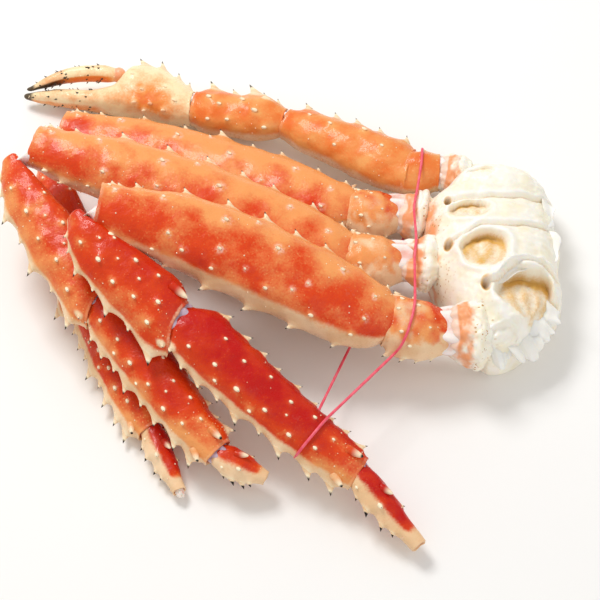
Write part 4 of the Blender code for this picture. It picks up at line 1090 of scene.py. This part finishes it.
FLAPS = [  # start (x, y, z), heading, length, width, rise, curl
    ((128, -16, 34), -50, 20, 26, -13, 5), ((136, -8, 36), -34, 20, 18, -9, -4),
    ((118, -24, 36), -72, 14, 16, -12, 3), ((146, -2, 32), -18, 12, 16, -5, -3), ((153, 42, 33), 4, 6, 26, -1, 2),
    ((151, 68, 33), 6, 6, 24, -1, -2), ((143, 92, 30), 14, 5, 20, -1, 2),
    ((117, 8, 49), 30, 24, 6, -2, 3),
]


def torn_flaps():
    """Thin torn membranes at the cut side: bent strips whose free edge is ragged by waves."""
    patches = []
    for number, (start, heading, length, width, rise, curl) in enumerate(FLAPS):
        s, w = np.meshgrid(np.linspace(0, 1, 26), np.linspace(-1, 1, 40), indexing="ij")
        flat = np.stack([w * 11, w * 3 + number, s * 0], axis=-1) * MM
        reach = length * (1 + 0.30 * ripple(flat, 12, 60 + number) + 0.07 * ripple(flat, 5, 70 + number))
        forward = direction(heading, 0)
        aside = direction(heading + 90, 0)
        out = s * reach * (1 - 0.25 * np.abs(w) ** 3)
        side = w * width / 2 * (1 - 0.25 * s)
        high = rise * s ** 1.5 + curl * s * w ** 2 + 0.9 * ripple(np.stack([out, side, 0 * s], -1) * MM, 9, 80 + number)
        grid = (np.array(start) + out[..., None] * forward + side[..., None] * aside) * MM
        grid[..., 2] += high * MM
        white = 0.5 + 0.5 * s
        patches.append(sheet(grid + ORIGIN, 0.7, dict(white=white)))
    return patches


# ---- band ---------------------------------------------------------------------------------


def band_patch(sizes):
    """The rubber band: a round tube along the straight and rounded stretches of its route."""
    corners = band_corners()
    route = []
    for corner, following in zip(corners, np.roll(corners, -1, axis=0)):
        pieces = max(1, math.ceil(np.linalg.norm(following - corner) / (2.5 * MM)))
        share = np.arange(pieces)[:, None] / pieces
        route.append(corner + (following - corner) * share)
    line = np.concatenate(route)
    for _ in range(3):
        line = (np.roll(line, 1, axis=0) + 2 * line + np.roll(line, -1, axis=0)) / 4
    heading = unit(np.roll(line, -1, axis=0) - np.roll(line, 1, axis=0))
    steady = np.array([0.31, 0.22, 0.93])
    first = unit(np.cross(heading, np.cross(steady, heading)) + 1e-9)
    second = np.cross(first, heading)
    turn = np.linspace(0, 2 * math.pi, 14, endpoint=False)
    radius = sizes.band_thickness / 2 * (1 + 0.05 * ripple(line, 20, 90))[:, None]
    grid = (line[:, None] + first[:, None] * (radius * np.cos(turn))[..., None]
            + second[:, None] * (radius * np.sin(turn))[..., None])
    rows, sides = grid.shape[:2]
    index = np.arange(rows * sides).reshape(rows, sides)
    ahead, beside = np.roll(index, -1, axis=0), np.roll(index, -1, axis=1)
    quads = np.stack([index, ahead, np.roll(beside, -1, axis=0), beside], axis=-1).reshape(-1, 4)
    return [dict(points=grid.reshape(-1, 3), quads=quads, fans=np.zeros((0, 3), int), marks={})]


# ---- add-on -------------------------------------------------------------------------------


def colour_choice(name, description, code):
    return bpy.props.FloatVectorProperty(name=name, description=description, subtype="COLOR",
                                         size=3, min=0.0, max=1.0, default=linear(code))


class CrabSizes(bpy.types.PropertyGroup):
    spine_height: bpy.props.FloatProperty(
        name="Spine height", description="Height of every spine against its usual height",
        default=1.0, min=0.2, max=1.6, subtype="FACTOR")
    tip_start: bpy.props.FloatProperty(
        name="Dark tip start", description="Share of a spine below its dark point",
        default=0.66, min=0.3, max=0.95, subtype="FACTOR")
    band_thickness: bpy.props.FloatProperty(
        name="Band thickness", description="Diameter of the rubber band",
        default=1.7 * MM, min=0.5 * MM, max=2.4 * MM, subtype="DISTANCE", unit="LENGTH")
    floor_width: bpy.props.FloatProperty(
        name="Floor width", description="Side of the square studio floor",
        default=6.0, min=1.0, max=20.0, subtype="DISTANCE", unit="LENGTH")
    camera_height: bpy.props.FloatProperty(
        name="Camera angle", description="How far above the ground the camera looks from",
        default=math.radians(58), min=0.0, max=math.radians(89), subtype="ANGLE", unit="ROTATION")
    camera_distance: bpy.props.FloatProperty(
        name="Camera distance", description="From the camera to the middle of the cluster",
        default=1.3, min=0.5, max=5.0, subtype="DISTANCE", unit="LENGTH")


class CrabColours(bpy.types.PropertyGroup):
    shell_light: colour_choice("Light shell", "Shell on the lit upper faces", "#F09E5C")
    shell: colour_choice("Shell", "Shell between light and deep", "#DC4410")
    shell_deep: colour_choice("Deep shell", "Most strongly coloured shell", "#BE0E06")
    arm_light: colour_choice("Light arm shell", "Arm shell on the lit upper faces", "#EFA862")
    arm: colour_choice("Arm shell", "Arm shell between light and deep", "#E97A34")
    # Painted highlight: the pale pink glints on the shell.
    bloom: colour_choice("Bloom", "Pale clouds on the shell", "#F8CFC4")
    cream: colour_choice("Cream edge", "Thin-coloured edges", "#F5D3AB")
    tan: colour_choice("Tan edge", "Darker parts of the edges", "#EBC192")
    spine: colour_choice("Spine", "Spines below their points", "#FFF0CE")
    tip: colour_choice("Spine point", "Dark points and bristles", "#1C0F0A")
    inside: colour_choice("Shell inside", "Inner side of the shell ends", "#D45A30")
    claw: colour_choice("Claw shell", "Pale shell of the claw", "#FAE3B6")
    claw_mark: colour_choice("Claw marking", "Orange patches of the claw", "#EC9248")
    skin: colour_choice("Skin", "Joint skin on its folds", "#FFF1EB")
    skin_shade: colour_choice("Skin shade", "Joint skin between its folds", "#EDB9AA")
    ankle: colour_choice("Lower skin", "Skin of the lower joints", "#C7AFC0")
    ankle_shade: colour_choice("Lower skin shade", "Lower joints between folds", "#9A7E94")
    body: colour_choice("Shoulder", "Pale shoulder", "#FFF9EC")
    body_shade: colour_choice("Shoulder shade", "Warmer parts of the shoulder", "#FAEFD6")
    # The hollow colour and the pore colour below are also laid on the hollows' back walls as painted shade.
    hollow: colour_choice("Hollow", "Tan floor of the hollows", "#E3B25C")
    peach: colour_choice("Peach", "Coloured parts of the hips", "#F3A672")
    white: colour_choice("Cartilage", "White folds and rims", "#FBF8F0")
    brown: colour_choice("Pore", "Inside of the pores", "#7A4F1E")
    speck: colour_choice("Speck", "Small specks on the hips", "#C79552")
    meat: colour_choice("Leg meat", "Cooked meat", "#F4E6DC")
    meat_red: colour_choice("Leg meat skin", "Coloured skin of the meat", "#EDB9A9")
    rubber: colour_choice("Rubber", "Rubber band", "#E8475F")
    rubber_light: colour_choice("Rubber bloom", "Paler parts of the band", "#F2687B")
    floor: colour_choice("Floor", "Studio paper", "#F7F6F4")


def shells(looks):
    """The three shell materials, made once and then found by name."""
    return dict(
        shell=bpy.data.materials.get("boiled_crab_shell") or boiled_shell(
            "boiled_crab_shell", looks.shell_light, looks.shell, looks.shell_deep, looks),
        arm=bpy.data.materials.get("boiled_arm_shell") or boiled_shell(
            "boiled_arm_shell", looks.arm_light, looks.arm, looks.shell, looks),
        claw=bpy.data.materials.get("boiled_claw_shell") or boiled_shell(
            "boiled_claw_shell", looks.claw, looks.claw_mark, looks.shell, looks))


# For each shell of a walking leg: profile, rows, sides, spines, paint, granules, ends, hoods and
# teeth.  A tooth is (fraction, degrees, length, lean, how dark its point is).
LEG_SHELLS = dict(
    ischium=(ISCHIUM, 90, 140, ISCHIUM_SPINES, ischium_paint, 26, ("tuck", "open"),
             ((-6.5, 25, 2), FLAT_END), []),
    merus=(MERUS, 260, 170, MERUS_SPINES, merus_paint, 90, ("tuck", "open"),
           (FLAT_END, (4.5, 20, 2)), []),
    carpus=(CARPUS, 160, 150, CARPUS_SPINES, carpus_paint, 50, ("shut", "open"),
            (FLAT_END, (15, 2, 2.4)), [(0.885, 124, 11, 4.0, 0.0)]),
    propodus=(PROPODUS, 200, 140, PROPODUS_SPINES, propodus_paint, 60, ("tuck", "open"),
              (FLAT_END, (2.5, 0, 1)), [(0.93, 112, 9.5, 2.4, 1.0), (0.94, 20, 8, 2.0, 1.0)]),
    dactylus=(DACTYLUS, 100, 80, DACTYLUS_SPINES, dactylus_paint, 10, ("tuck", "cut"),
              (FLAT_END, FLAT_END), [(0.30, 118, 7.5, 2.0, 0.0)]))


class CRAB_OT_walking_legs(bpy.types.Operator):
    """Shell segments of the three walking legs, down to their cut claws"""
    bl_idname = "crab.walking_legs"
    bl_label = "Walking legs"

    def execute(self, context):
        sizes, looks = context.scene.crab_sizes, context.scene.crab_colours
        shell = shells(looks)["shell"]
        for number, leg in enumerate(WALKING_LEGS):
            bones = skeleton(leg, LEG_LINKS)
            mitre(bones["ischium"], bones["merus"])
            scale, seed = leg["scale"], 100 * (number + 1)
            for step, (part, (profile, count, sides, spines, paint, granules, ends, hoods, teeth)) in enumerate(
                    LEG_SHELLS.items()):
                name = leg["name"] + "_" + part
                if leg is BACK and part == "propodus":
                    spines = [spine for spine in spines if spine[1] <= 65]
                if part == "merus":
                    bones[part]["drop"] = leg["knee_drop"]
                    hoods = (FLAT_END, (leg["knee_hood"], 20, 2))
                patches = hard_segment(
                    bones[part], profile, scale, count, sides, spines, paint, sizes, seed + 10 * step,
                    granules=granules, ends=ends, hoods=hoods, teeth=teeth,
                    dark_start=0.42 if part == "dactylus" else None,
                    fade=leg["merus_fade" if part == "merus" else "fade"])
                add_piece(name + "_shell", patches, shell, [name])
        return {"FINISHED"}


class CRAB_OT_joint_skins(bpy.types.Operator):
    """Soft skins in the joints of the walking legs and of the arm"""
    bl_idname = "crab.joint_skins"
    bl_label = "Joint skins"

    def execute(self, context):
        looks = context.scene.crab_colours
        pale = soft_skin("joint_membrane", looks.skin, looks.skin_shade, looks)
        low = soft_skin("lower_joint_membrane", looks.ankle, looks.ankle_shade, looks)
        for number, leg in enumerate(WALKING_LEGS):
            bones, name, scale = skeleton(leg, LEG_LINKS), leg["name"] + "_", leg["scale"]
            bones["merus"]["drop"] = leg["knee_drop"]
            plan = [("hip_skin", "coxa", COXA, leg["hip_scale"], "ischium", ISCHIUM, scale, 0.94, pale, 0.3, 1.0),
                    ("ankle_skin", "carpus", CARPUS, scale, "propodus", PROPODUS, scale, 0.93, low, 0.3, 1.0),
                    ("claw_skin", "propodus", PROPODUS, scale * 0.9, "dactylus", DACTYLUS, scale, 0.93, low, 0.3, 0.95)]
            for step, (part, one, first, one_scale, two, second, two_scale, share, skin, slack, waist) in enumerate(plan):
                patches = skin_bridge(bones[one], first, one_scale, bones[two], second, two_scale,
                                      share, 300 + 10 * number + step, slack, waist=waist,
                                      inside=9.0 if part == "hip_skin" else 1.6)
                add_piece(name + part + "_folds", patches, skin, [name + part])
            add_piece(name + "knee_skin_folds", knee_web(bones, scale, 330 + number), pale,
                      [name + "knee_skin"])
        bones = skeleton(ARM, ARM_LINKS)
        plan = [("hip_skin", "coxa", ARM_COXA, "ischium", ARM_ISCHIUM),
                ("elbow_skin", "merus", ARM_MERUS, "carpus", ARM_CARPUS),
                ("wrist_skin", "carpus", ARM_CARPUS, "palm", PALM)]
        for step, (part, one, first, two, second) in enumerate(plan):
            patches = skin_bridge(bones[one], first, 1.0, bones[two], second, 1.0, 0.9, 340 + step)
            add_piece("arm_" + part + "_folds", patches, pale, ["arm_" + part])
        return {"FINISHED"}


class CRAB_OT_hip_rings(bpy.types.Operator):
    """Pale rings of the four limbs next to the shoulder"""
    bl_idname = "crab.hip_rings"
    bl_label = "Hip rings"

    def execute(self, context):
        looks = context.scene.crab_colours
        body = bpy.data.materials.get("cooked_shoulder") or body_meat("cooked_shoulder", looks)
        for number, limb in enumerate(WALKING_LEGS + [ARM]):
            order, profile = (ARM_LINKS, ARM_COXA) if limb is ARM else (LEG_LINKS, COXA)
            bone = skeleton(limb, order)["coxa"]
            add_piece(limb["name"] + "_hip_ring", hip_ring(bone, profile, limb["hip_scale"], 400 + number),
                      body, [limb["name"] + "_coxa"])
        return {"FINISHED"}


class CRAB_OT_claw_arm(bpy.types.Operator):
    """The claw arm: three shell segments, the palm with its fixed finger, and the movable finger"""
    bl_idname = "crab.claw_arm"
    bl_label = "Claw arm"

    def execute(self, context):
        sizes, looks = context.scene.crab_sizes, context.scene.crab_colours
        materials = shells(looks)
        bones = skeleton(ARM, ARM_LINKS)
        mitre(bones["ischium"], bones["merus"])
        plan = [("ischium", ARM_ISCHIUM, 60, 100, [(0.5, 5, 4)], arm_paint, 10, "arm", "pale_shell"),
                ("merus", ARM_MERUS, 130, 110, ARM_MERUS_SPINES, arm_paint, 40, "arm", "cooked_shell"),
                ("carpus", ARM_CARPUS, 100, 110, ARM_CARPUS_SPINES, arm_paint, 26, "arm", "cooked_shell"),
                ("palm", PALM, 200, 120, PALM_SPINES, palm_paint, 20, "claw", "pale_shell")]
        for step, (part, profile, rows, sides, spines, paint, granules, look, slot) in enumerate(plan):
            ends = ("open", "shut") if part == "palm" else ("open", "open")
            patches = hard_segment(bones[part], profile, 1.0, rows, sides, spines, paint, sizes,
                                   500 + 10 * step, granules=granules, ends=ends,
                                   dark_face=2.0 if part == "palm" else 0.89,
                                   knob_tone=0.35 if part == "palm" else 1.0)
            if part == "palm":
                patches += bristles(bones[part], PALM, 46, (0.55, 0.97), 560)
            add_piece("arm_" + part + "_shell", patches, materials[look], ["arm_" + part])
        finger = finger_bone(bones["palm"])
        patches = hard_segment(finger, FINGER, 1.0, 120, 80, [], finger_paint, sizes, 570,
                               lumps=0.2, granules=8, ends=("shut", "shut"))
        patches += bristles(finger, FINGER, 50, (0.15, 0.97), 580)
        add_piece("arm_finger_shell", patches, materials["claw"], ["arm_finger"])
        skin = bpy.data.materials.get("joint_membrane") or soft_skin(
            "joint_membrane", looks.skin, looks.skin_shade, looks)
        add_piece("arm_finger_hinge", hinge_patch(bones["palm"], finger), skin, ["arm_finger_skin"])
        return {"FINISHED"}


def finger_bone(palm):
    """The movable finger's frame, hinged beside the palm and bowed outwards."""
    fraction, side = FINGER_PLACE
    hinge = palm["start"] + palm["along"] * palm["length"] * fraction + palm["dorsal"] * side * MM
    finger = link_frame(hinge, FINGER_LINK, ARM)
    finger["bow"] = FINGER_BOW
    return finger


def bristles(bone, profile, count, span, seed):
    """Short dark bristles scattered over a finger at random."""
    u, theta, grid = segment_grid(bone, profile, 1.0, 120, 60)
    normals = grid_normals(grid)
    draw = np.random.default_rng(seed)
    rows = np.searchsorted(u[:, 0], draw.uniform(*span, count))
    rows = np.clip(rows, 1, len(grid) - 2)
    columns = draw.integers(0, grid.shape[1], count)
    tall = draw.uniform(1.1, 2.0, count)
    wide = draw.uniform(0.6, 0.95, count)
    axes = unit(normals[rows, columns] + bone["along"] * 0.7)
    return cones(grid[rows, columns], axes, axes, bone["along"], tall, wide, wide, tall * 0 + 0.5,
                 dict(dark=np.full((count, 5), 0.95)), rings=5, sides=7)


def hinge_patch(palm, finger):
    """The finger's hinge: a small rounded saddle, an oval ball with a crease round it."""
    rows, sides = 40, 60
    polar = np.linspace(0.02, math.pi - 0.02, rows)[:, None]
    turn = np.linspace(0, 2 * math.pi, sides, endpoint=False)[None]
    centre = finger["start"] - palm["along"] * 1.5 * MM
    radii = np.array([5.4, 4.8, 5.6]) * MM
    crease = 1 - 0.08 * np.exp(-((polar - math.pi / 2) / 0.2) ** 2)
    grid = (centre + finger["along"] * (radii[0] * -np.cos(polar) + 0 * turn)[..., None]
            + finger["dorsal"] * (radii[1] * crease * np.sin(polar) * np.cos(turn))[..., None]
            + finger["face"] * (radii[2] * crease * np.sin(polar) * np.sin(turn))[..., None])
    return [tube(grid, dict(fold=0.5 + 0.0 * (polar + turn), orange=0.85 + 0.0 * (polar + turn)))]


class CRAB_OT_cut_meat(bpy.types.Operator):
    """Meat that stands out of the back leg's cut claw"""
    bl_idname = "crab.cut_meat"
    bl_label = "Cut meat"

    def execute(self, context):
        looks = context.scene.crab_colours
        bone = skeleton(BACK, LEG_LINKS)["dactylus"]
        rows, sides = 40, 60
        t = np.linspace(0, 1, rows)[:, None]
        turn = np.linspace(0, 2 * math.pi, sides, endpoint=False)[None]
        radius = 3.0 * (1 - 0.25 * t) * np.sqrt(np.maximum(1 - t ** 8, 0.02))
        fibres = 1 + 0.07 * np.sin(turn * 9 + 2 * t) * t + 0.05 * np.sin(turn * 4 + 1)
        axial = -5.0 + 9.0 * t + 0.8 * np.sin(turn * 2 + 0.6) * t ** 3
        grid = (bone["end"] + bone["along"] * (axial * MM)[..., None]
                + bone["dorsal"] * (radius * fibres * np.cos(turn) * MM)[..., None]
                + bone["face"] * (radius * fibres * np.sin(turn) * MM)[..., None])
        add_piece("back_claw_meat", [tube(grid, {})], leg_meat("cooked_leg_meat", looks),
                  ["back_cut_meat"])
        return {"FINISHED"}


class CRAB_OT_shoulder(bpy.types.Operator):
    """The cut shoulder with its seams, chambers, pores and torn membranes"""
    bl_idname = "crab.shoulder"
    bl_label = "Shoulder"

    def execute(self, context):
        looks = context.scene.crab_colours
        body = bpy.data.materials.get("cooked_shoulder") or body_meat("cooked_shoulder", looks)
        add_piece("shoulder_body", shoulder_patch(), body, ["shoulder"])
        add_piece("shoulder_membranes", torn_flaps(), body, [])
        return {"FINISHED"}


class CRAB_OT_rubber_band(bpy.types.Operator):
    """The thin rubber band that holds the folded legs"""
    bl_idname = "crab.rubber_band"
    bl_label = "Rubber band"

    def execute(self, context):
        sizes, looks = context.scene.crab_sizes, context.scene.crab_colours
        add_piece("rubber_band_loop", band_patch(sizes), band_rubber("latex_rubber", looks),
                  ["rubber_band"])
        return {"FINISHED"}


class CRAB_OT_studio(bpy.types.Operator):
    """Plain floor, soft lights and the camera"""
    bl_idname = "crab.studio"
    bl_label = "Studio"

    def execute(self, context):
        scene = context.scene
        sizes, looks = scene.crab_sizes, scene.crab_colours
        half = sizes.floor_width / 2
        mesh = bpy.data.meshes.new("studio_floor")
        mesh.from_pydata([(-half, -half, 0), (half, -half, 0), (half, half, 0), (-half, half, 0)],
                         [], [(0, 1, 2, 3)])
        mesh.materials.append(studio_paper("studio_paper", looks))
        floor = bpy.data.objects.new("studio_floor", mesh)
        scene.collection.objects.link(floor)
        target = ORIGIN + np.array([0.0, 0.0, 0.040])
        for name, place, size, power in (("key", (-0.45, 0.55, 1.15), 0.45, 10.0),
                                         ("fill", (0.8, -0.9, 1.0), 1.4, 3.5)):
            lamp = bpy.data.lights.new(name, "AREA")
            lamp.shape = "SQUARE"
            lamp.size = size
            lamp.energy = power
            item = bpy.data.objects.new(name, lamp)
            item.location = place
            item.rotation_euler = look_at(np.array(place), target)
            scene.collection.objects.link(item)
        world = bpy.data.worlds.new("studio_air")
        world.use_nodes = True
        background = world.node_tree.nodes["Background"]
        background.inputs["Color"].default_value = (1.0, 0.985, 0.965, 1.0)
        background.inputs["Strength"].default_value = 0.62
        scene.world = world
        lens = bpy.data.cameras.new("camera")
        lens.lens = 130.0
        lens.sensor_width = 36.0
        camera = bpy.data.objects.new("camera", lens)
        back = np.array([0.0, -math.cos(sizes.camera_height), math.sin(sizes.camera_height)])
        place = target + back * sizes.camera_distance
        camera.location = place
        camera.rotation_euler = look_at(place, target)
        scene.collection.objects.link(camera)
        scene.camera = camera
        scene.view_settings.view_transform = "Standard"
        return {"FINISHED"}


def look_at(place, target):
    """Euler angles that point a camera's or a lamp's -Z at a target, with +Y up."""
    way = target - place
    flat = math.hypot(way[0], way[1])
    return (math.atan2(flat, -way[2]), 0.0, math.atan2(-way[0], way[1]))


STEPS = [CRAB_OT_studio, CRAB_OT_rubber_band, CRAB_OT_walking_legs, CRAB_OT_joint_skins,
         CRAB_OT_hip_rings, CRAB_OT_claw_arm, CRAB_OT_cut_meat, CRAB_OT_shoulder]


class CRAB_PT_panel(bpy.types.Panel):
    bl_idname = "CRAB_PT_panel"
    bl_label = "King crab leg cluster"
    bl_space_type = "VIEW_3D"
    bl_region_type = "UI"
    bl_category = "Crab"

    def draw(self, context):
        for step in STEPS:
            self.layout.operator(step.bl_idname)
        for group in (context.scene.crab_sizes, context.scene.crab_colours):
            for name in type(group).__annotations__:
                self.layout.prop(group, name)


CLASSES = [CrabSizes, CrabColours, *STEPS, CRAB_PT_panel]


def register():
    for kind in CLASSES:
        bpy.utils.register_class(kind)
    bpy.types.Scene.crab_sizes = bpy.props.PointerProperty(type=CrabSizes)
    bpy.types.Scene.crab_colours = bpy.props.PointerProperty(type=CrabColours)


def unregister():
    del bpy.types.Scene.crab_colours
    del bpy.types.Scene.crab_sizes
    for kind in reversed(CLASSES):
        bpy.utils.unregister_class(kind)


def main():
    register()
    for step in STEPS:
        group, action = step.bl_idname.split(".")
        getattr(getattr(bpy.ops, group), action)()


if __name__ == "__main__":
    main()
